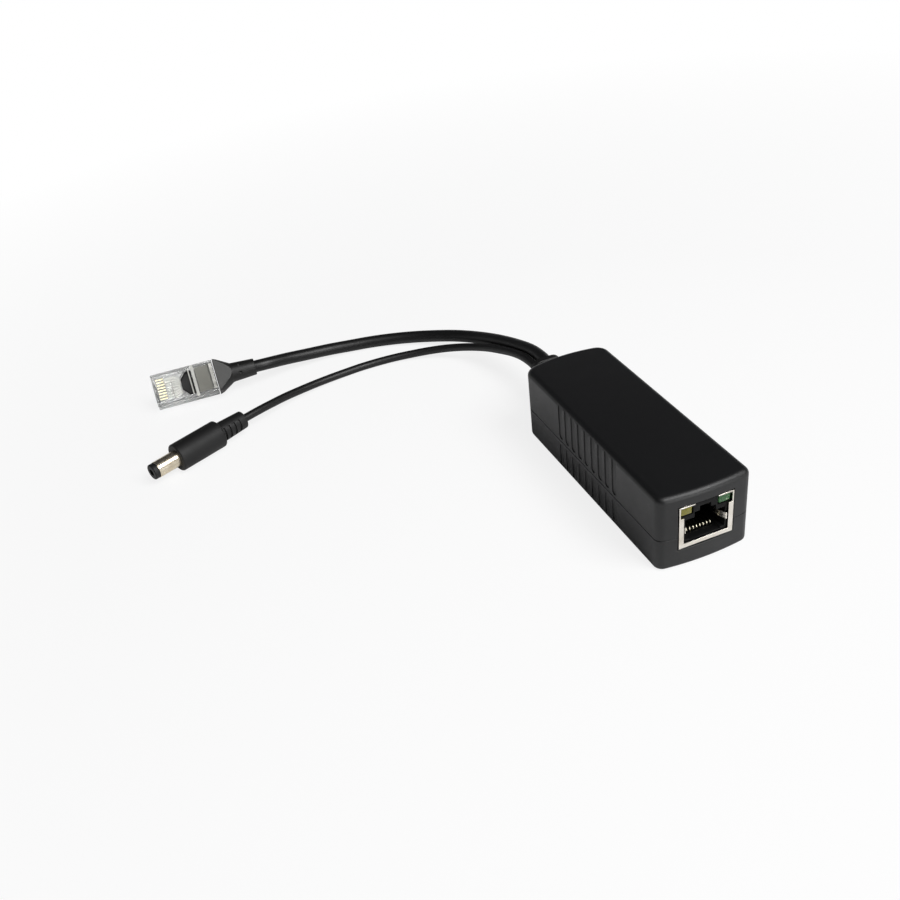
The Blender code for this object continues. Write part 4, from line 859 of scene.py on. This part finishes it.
def strain_relief():
    """Rubber relief: flange, neck and a ribbed boot with soft edges."""
    flange = (RELIEF_SIZE, RELIEF_CORNER)
    neck = (NECK_SIZE, NECK_CORNER)
    start = CASE_LENGTH / 2 + FIT
    stop = RELIEF_HIGH.y
    inner = RELIEF_LOW.y + FLANGE_THICKNESS
    collar = stop - RELIEF_COLLAR
    pitch = (collar - start) / RELIEF_RIBS
    low = (tuple(size - 2 * RELIEF_TAPER for size in RELIEF_SIZE), RELIEF_CORNER - RELIEF_TAPER)
    eased = (tuple(size - 2 * RELIEF_SOFT for size in RELIEF_SIZE), RELIEF_CORNER - RELIEF_SOFT)
    sections = [(RELIEF_LOW.y, eased), (RELIEF_LOW.y + RELIEF_SOFT, flange), (inner, flange), (inner, neck),
                (start, neck)]
    ribs = [(start + rib * pitch, start + (rib + 1) * pitch - RELIEF_GROOVE) for rib in range(RELIEF_RIBS)]
    for rib_start, rib_stop in ribs + [(collar, stop)]:
        sections += [(rib_start, low if rib_start > start else neck), (rib_start, eased),
                     (rib_start + RELIEF_SOFT, flange), (rib_stop - RELIEF_SOFT, flange), (rib_stop, eased)]
        if rib_stop < stop:
            sections.append((rib_stop, low))
    rings = [relief_section(y, *size) for y, size in sections]
    bm = loft(bmesh.new(), rings)
    bmesh.ops.remove_doubles(bm, verts=bm.verts, dist=MERGE)
    return link_piece("strain_relief_boot", mesh_from("strain_relief_boot", bm), "rubber", "case",
                      ["strain_relief"])


def cord(name, node, start, route, stop, diameter):
    """One free cord from the strain relief to the end of its plug."""
    path = smooth_route([start] + route + [stop], diameter / 2)
    made = wire(name, path, diameter, "cord_jacket", "case", [node], 10)


# Data plug

def plug_wires():
    """Eight insulated conductors that fan out from the jacket's nose to the blades."""
    made = []
    for number, y in enumerate(contact_row(), start=1):
        nose = (number - (CONTACT_COUNT + 1) / 2) * WIRE_NOSE_PITCH
        route = [(BLADE_SETBACK + FIT, y, 0), (BLADE_SETBACK + BLADE_LENGTH, y, 0),
                 (JACKET_START - FAN_START, y, 0), (JACKET_START - FAN_MIDDLE, (2 * y + nose) / 3, 0),
                 (JACKET_START - FIT, nose, 0)]
        path = [PLUG_FRAME @ spot for spot in smooth_route(route, WIRE_DIAMETER / 2)]
        nodes = ["rj45_conductors"] if number == 1 else []
        made.append(wire(f"plug_conductor_{number}", path, WIRE_DIAMETER, "wire_insulation", "case",
                         nodes))
    return made


def plug_boot():
    """Moulded boot: a block whose corners are turned down to a round sleeve with small holes."""
    waist = BOOT_FRONT + BOOT_TAPER
    widest = math.hypot(BOOT_WIDTH, BOOT_THICKNESS) / 2
    edge = BOOT_END / 2 - BOOT_EDGE
    profile = [(0, BOOT_FRONT), (widest, BOOT_FRONT), (BOOT_NECK / 2, waist)]
    profile += rounded_step((edge, BOOT_REAR - BOOT_EDGE), BOOT_EDGE, 0, math.pi / 2) + [(0, BOOT_REAR)]
    bar = block(bmesh.new(), (BOOT_FRONT - PAST, -BOOT_WIDTH / 2, -BOOT_THICKNESS / 2),
                (BOOT_REAR + PAST, BOOT_WIDTH / 2, BOOT_THICKNESS / 2))
    mesh = carve(mesh_from("data_plug_boot", turned(profile)), "INTERSECT", bar)
    holes = bmesh.new()
    for side in (-1, 1):
        for y in (-BOOT_HOLE_SPAN / 2, BOOT_HOLE_SPAN / 2):
            spot = Matrix.Translation((waist + BOOT_HOLE_SETBACK, y, side * BOOT_THICKNESS / 2))
            bmesh.ops.create_cone(holes, cap_ends=True, segments=3 * ARC, radius1=BOOT_HOLE / 2,
                                  radius2=BOOT_HOLE / 2, depth=2 * BOOT_HOLE_DEPTH, matrix=spot)
    mesh = carve(mesh, "DIFFERENCE", holes)
    # The flat faces get the lighter copy and the sleeve the darker one: painted light and painted shade.
    flats = [abs(abs(face.center.z) - BOOT_THICKNESS / 2) < FACE_TOLERANCE for face in mesh.polygons]
    mesh.transform(PLUG_FRAME)
    boot = link_piece("data_plug_boot", mesh, "boot_plastic", "case", ["rj45_plug_boot"])
    mesh.materials.append(LOOKS["boot_sleeve_painted_shade"])
    for face, flat in zip(mesh.polygons, flats):
        face.material_index = 0 if flat else 1
    soften(boot, BOOT_SOFT, 3, BOOT_SOFT_ANGLE)
    return boot


def plug_shell():
    """Clear shell of the plug: crimp bar, score line, and frosted floors in its recesses and rear window."""
    top = PLUG_THICKNESS / 2
    half = WINDOW_WIDTH / 2
    mesh = NODES["rj45_plug_body"].data.copy()
    mesh.transform(PLUG_FRAME.inverted())
    bar = block(bmesh.new(), (CRIMP_BAR[0], -half - FIT, JACKET_HEIGHT / 2 + FIT),
                (CRIMP_BAR[1], half + FIT, top - FIT))
    mesh = carve(mesh, "UNION", bar)
    above = top + PAST
    across = PLUG_WIDTH / 2 + PAST
    cuts = [
        block(bmesh.new(), (CRIMP_RECESS[0], -across, top - RECESS_DEPTH), (CRIMP_RECESS[1], across, above)),
        block(bmesh.new(), (REAR_RECESS[0], -half, top - RECESS_DEPTH), (REAR_RECESS[1], half, above)),
        block(bmesh.new(), (SCORE_LINE[0], SCORE_SPAN[0], top - SCORE_DEPTH),
              (SCORE_LINE[1], SCORE_SPAN[1], above)),
    ]
    mesh = flat_faced("data_plug_shell", carve(mesh, "DIFFERENCE", *cuts))
    shell = link_piece("data_plug_shell", mesh, "clear_plastic", "case", ["rj45_plug_body"])
    floors = [
        ("frosted_plastic", (0, PLUG_LENGTH), top - REAR_WINDOW_DEPTH),
        ("pale_frost", CRIMP_RECESS, top - RECESS_DEPTH),
        ("rear_frost", REAR_RECESS, top - RECESS_DEPTH),
        ("frosted_plastic", SCORE_LINE, top - SCORE_DEPTH),
        ("pale_frost", CRIMP_BAR, top - FIT),
    ]
    for number, (look, span, height) in enumerate(floors, start=1):
        mesh.materials.append(LOOKS[look])
        for face in mesh.polygons:
            if abs(face.center.z - height) < FACE_TOLERANCE and span[0] < face.center.x < span[1]:
                face.material_index = number
    mesh.transform(PLUG_FRAME)
    return shell


def plug_blades():
    """Gold blades in their slots."""
    made = []
    top = PLUG_THICKNESS / 2 - BLADE_DEPTH
    for number, y in enumerate(contact_row(), start=1):
        name = f"data_plug_blade_{number}"
        bm = block(bmesh.new(), (BLADE_SETBACK, y - BLADE_THICKNESS / 2, top - BLADE_HEIGHT),
                   (BLADE_SETBACK + BLADE_LENGTH, y + BLADE_THICKNESS / 2, top))
        mesh = mesh_from(name, bm)
        mesh.transform(PLUG_FRAME)
        blade = link_piece(name, mesh, "gold_contact", "case", [f"rj45_blade_{number}"])
        soften(blade, BLADE_EDGE)
        made.append(blade)
    return made


def data_plug():
    """Clear plug with its blades, conductors, cord end, latch and boot."""
    made = [plug_shell()]
    made += plug_blades()
    made += plug_wires()
    made.append(refined("rj45_cord_end", "data_plug_cord_end", "cord_jacket", "case",
                        CORD_END_EDGE))
    made.append(refined("rj45_plug_latch", "data_plug_latch", "clear_plastic", "plug_latch",
                        LATCH_EDGE))
    made.append(plug_boot())
    return made


# Power plug

def sleeve_slots():
    """Part-round slots on both sides of the sleeve."""
    bm = bmesh.new()
    pitch = (SLEEVE_LENGTH - SLEEVE_COLLAR - SLEEVE_SLOT_WIDTH - FIT) / (SLEEVE_SLOTS - 1)
    out = SLEEVE_RADIUS + PAST
    for side in (-1, 1):
        for slot in range(SLEEVE_SLOTS):
            rear = SLEEVE_REAR - SLEEVE_COLLAR - slot * pitch
            front = rear - SLEEVE_SLOT_WIDTH
            share = (SLEEVE_REAR - rear) / SLEEVE_LENGTH
            floor = SLEEVE_END_RADIUS + (SLEEVE_RADIUS - SLEEVE_END_RADIUS) * share - SLEEVE_SLOT_DEPTH
            rings = []
            for step in range(3 * ARC + 1):
                angle = SLEEVE_SLOT_SWEEP * (step / (3 * ARC) - 0.5)
                y = side * math.cos(angle)
                z = math.sin(angle)
                rings.append([(front, floor * y, floor * z), (rear, floor * y, floor * z),
                              (rear, out * y, out * z), (front, out * y, out * z)])
            loft(bm, rings)
    return bm


def power_piece(name, mesh, look, node):
    """One piece of the power plug, laid where the plug lies."""
    mesh.transform(POWER_FRAME)
    return link_piece(name, mesh, look, "case", [node])


def power_ring(name, profile, look, node):
    """One ring of the power plug, turned from a closed profile."""
    return power_piece(name, mesh_from(name, turned(profile, True), TURNED_SHARP), look, node)


def power_grip():
    """Moulded grip with its slotted sleeve and the socket for the barrel."""
    quarter = math.pi / 2
    socket = BARREL_RADIUS + BARREL_FIT
    floor = BARREL_END + FIT
    profile = [(0, SLEEVE_REAR)]
    profile += rounded_step((SLEEVE_END_RADIUS - SLEEVE_EDGE, SLEEVE_REAR - SLEEVE_EDGE), SLEEVE_EDGE,
                            quarter, 0)
    profile += [(SLEEVE_RADIUS, GRIP_REAR)]
    profile += rounded_step((GRIP_RADIUS - GRIP_EDGE, GRIP_REAR - GRIP_EDGE), GRIP_EDGE, quarter, 0)
    profile += rounded_step((GRIP_RADIUS - GRIP_EDGE, BARREL_LENGTH + GRIP_EDGE), GRIP_EDGE, 0, -quarter)
    profile += [(socket, BARREL_LENGTH), (socket, floor), (0, floor)]
    mesh = carve(mesh_from("power_plug_grip", turned(profile), TURNED_SHARP), "DIFFERENCE", sleeve_slots())
    grip = power_piece("power_plug_grip", mesh, "grip_plastic", "dc_plug_grip")
    soften(grip, GRIP_SOFT)
    return grip


def power_barrel():
    """Nickel barrel, from behind the tip to its seat in the grip."""
    front = TIP_LENGTH + BARREL_FIT
    profile = [(BARREL_RADIUS, BARREL_END), (BARREL_RADIUS, front), (BARREL_BORE, front),
               (BARREL_BORE, BARREL_END)]
    barrel = power_ring("power_plug_barrel", profile, "barrel_nickel", "dc_plug_barrel")
    soften(barrel, BARREL_EDGE)
    return barrel


def power_insulator():
    """Black insulating tip, which goes on as a lining between the barrel and the centre contact."""
    lining = BARREL_BORE - FIT
    end = BARREL_END - FIT
    bore = PIN_RADIUS + FIT
    rim = BARREL_RADIUS - FIT / 3
    lip = PIN_BORE_RADIUS + FIT / 2
    profile = [(lining, end), (lining, TIP_LENGTH), (rim, TIP_LENGTH)]
    profile += rounded_step((rim - TIP_EDGE, TIP_EDGE), TIP_EDGE, 0, -math.pi / 2)
    profile += [(lip, 0), (lip, PIN_RECESS - FIT), (bore, PIN_RECESS - FIT), (bore, end)]
    return power_ring("power_plug_insulator", profile, "grip_plastic", "dc_plug_insulator")


def power_centre():
    """Centre contact, a thin tube behind the tip's lip."""
    end = BARREL_END - 2 * FIT
    profile = [(PIN_RADIUS, end), (PIN_RADIUS, PIN_RECESS), (PIN_BORE_RADIUS, PIN_RECESS),
               (PIN_BORE_RADIUS, end)]
    return power_ring("power_plug_centre", profile, "barrel_nickel", "dc_plug_centre_contact")


def power_plug():
    """Grip with its slotted sleeve, nickel barrel, insulating tip and centre contact."""
    return [power_grip(), power_barrel(), power_insulator(), power_centre()]


# Finishes of the solids that stay

def finish_inner_parts():
    """Give each solid that isn't replaced the finish of its slot."""
    slots = {entry["node"]: entry["material_slot"] for entry in frame["record"]["subparts"]}
    for name, obj in NODES.items():
        if not obj.hide_render:
            obj.data.materials.clear()
            obj.data.materials.append(LOOKS[slots[name]])


# Studio

def floor_material():
    """Pale floor that keeps the shadow near the object and goes to plain white further out."""
    made, tree, shader = new_material("pale_floor")
    shader.inputs["Base Color"].default_value = (FLOOR_TONE, FLOOR_TONE, FLOOR_TONE, 1.0)
    shader.inputs["Roughness"].default_value = 0.9
    shader.inputs["Specular IOR Level"].default_value = 0.0
    white = tree.nodes.new("ShaderNodeEmission")
    white.inputs["Color"].default_value = (1.0, 1.0, 1.0, 1.0)
    path = tree.nodes.new("ShaderNodeLightPath")
    mirrored = combine_values(tree, "MAXIMUM", path.outputs["Is Glossy Ray"],
                              path.outputs["Is Transmission Ray"])
    length = tree.nodes.new("ShaderNodeVectorMath")
    length.operation = "LENGTH"
    tree.links.new(object_coordinates(tree), length.inputs[0])
    direct = remap(tree, length.outputs["Value"], *SHADOW_ENDS, SHADOW_WHITE, 1.0)
    indirect = remap(tree, length.outputs["Value"], *MIRROR_ENDS, 0.0, 1.0)
    share = combine_values(tree, "MAXIMUM",
                           combine_values(tree, "MULTIPLY", direct, path.outputs["Is Camera Ray"]),
                           combine_values(tree, "MULTIPLY", indirect, mirrored))
    mix_surface(tree, share, shader.outputs["BSDF"], white.outputs["Emission"])
    return made


def floor():
    """Large plain floor under the object."""
    bm = bmesh.new()
    bmesh.ops.create_grid(bm, x_segments=1, y_segments=1, size=FLOOR_HALF)
    mesh = bpy.data.meshes.new("studio_floor")
    bm.to_mesh(mesh)
    bm.free()
    obj = new_object("studio_floor", mesh)
    mesh.materials.append(floor_material())


def lamp(name, place, size, power):
    """Square soft box that faces the object."""
    data = bpy.data.lights.new(name, "AREA")
    data.shape = "SQUARE"
    data.size = size
    data.energy = power
    obj = new_object(name, data)
    obj.location = place
    obj.rotation_euler = (Vector(LAMP_TARGET) - Vector(place)).to_track_quat("-Z", "Y").to_euler()


def world():
    """Pale low horizon under a dim studio ceiling, white to the camera and grey through clear plastic."""
    made = bpy.data.worlds.new("studio")
    bpy.context.scene.world = made
    made.use_nodes = True
    tree = made.node_tree
    split = tree.nodes.new("ShaderNodeSeparateXYZ")
    tree.links.new(tree.nodes.new("ShaderNodeTexCoord").outputs["Generated"], split.inputs["Vector"])
    ramp = tree.nodes.new("ShaderNodeValToRGB")
    for element, (position, tone) in zip(ramp.color_ramp.elements, (HORIZON, CEILING)):
        element.position = position
        element.color = tone
    tree.links.new(split.outputs["Z"], ramp.inputs["Fac"])
    path = tree.nodes.new("ShaderNodeLightPath")
    colour = ramp.outputs["Color"]
    for ray, level in WORLD_LEVELS:
        colour = mix_colours(tree, path.outputs[ray], colour, (level, level, level, 1.0))
    tree.links.new(colour, tree.nodes["Background"].inputs["Color"])


def camera():
    """Camera at the photograph's angle."""
    data = bpy.data.cameras.new("photo_camera")
    data.lens = CAMERA_LENS
    data.sensor_width = CAMERA_SENSOR
    data.shift_x, data.shift_y = CAMERA_SHIFT
    data.clip_start = CAMERA_NEAR
    obj = new_object("photo_camera", data)
    obj.location = CAMERA_PLACE
    obj.rotation_euler = [math.radians(angle) for angle in CAMERA_TURN]
    bpy.context.scene.camera = obj


def build():
    """Dress the whole splitter and light it."""
    bpy.context.scene.view_settings.view_transform = "Standard"
    camera()
    case_shells()
    jack()
    relief = strain_relief()
    data_pieces = data_plug()
    power_pieces = power_plug()
    plug_end = PLUG_FRAME @ Vector((BOOT_REAR - CORD_SEAT, 0, 0))
    power_end = POWER_FRAME @ Vector((SLEEVE_REAR - CORD_SEAT, 0, 0))
    cord("data_cord", "ethernet_cord", ETHERNET_EXIT, ETHERNET_ROUTE, plug_end, ETHERNET_CORD)
    cord("power_cord", "dc_cord", DC_EXIT, DC_ROUTE, power_end, DC_CORD)
    finish_inner_parts()
    floor()
    world()
    for settings in LAMPS:
        lamp(*settings)


build()
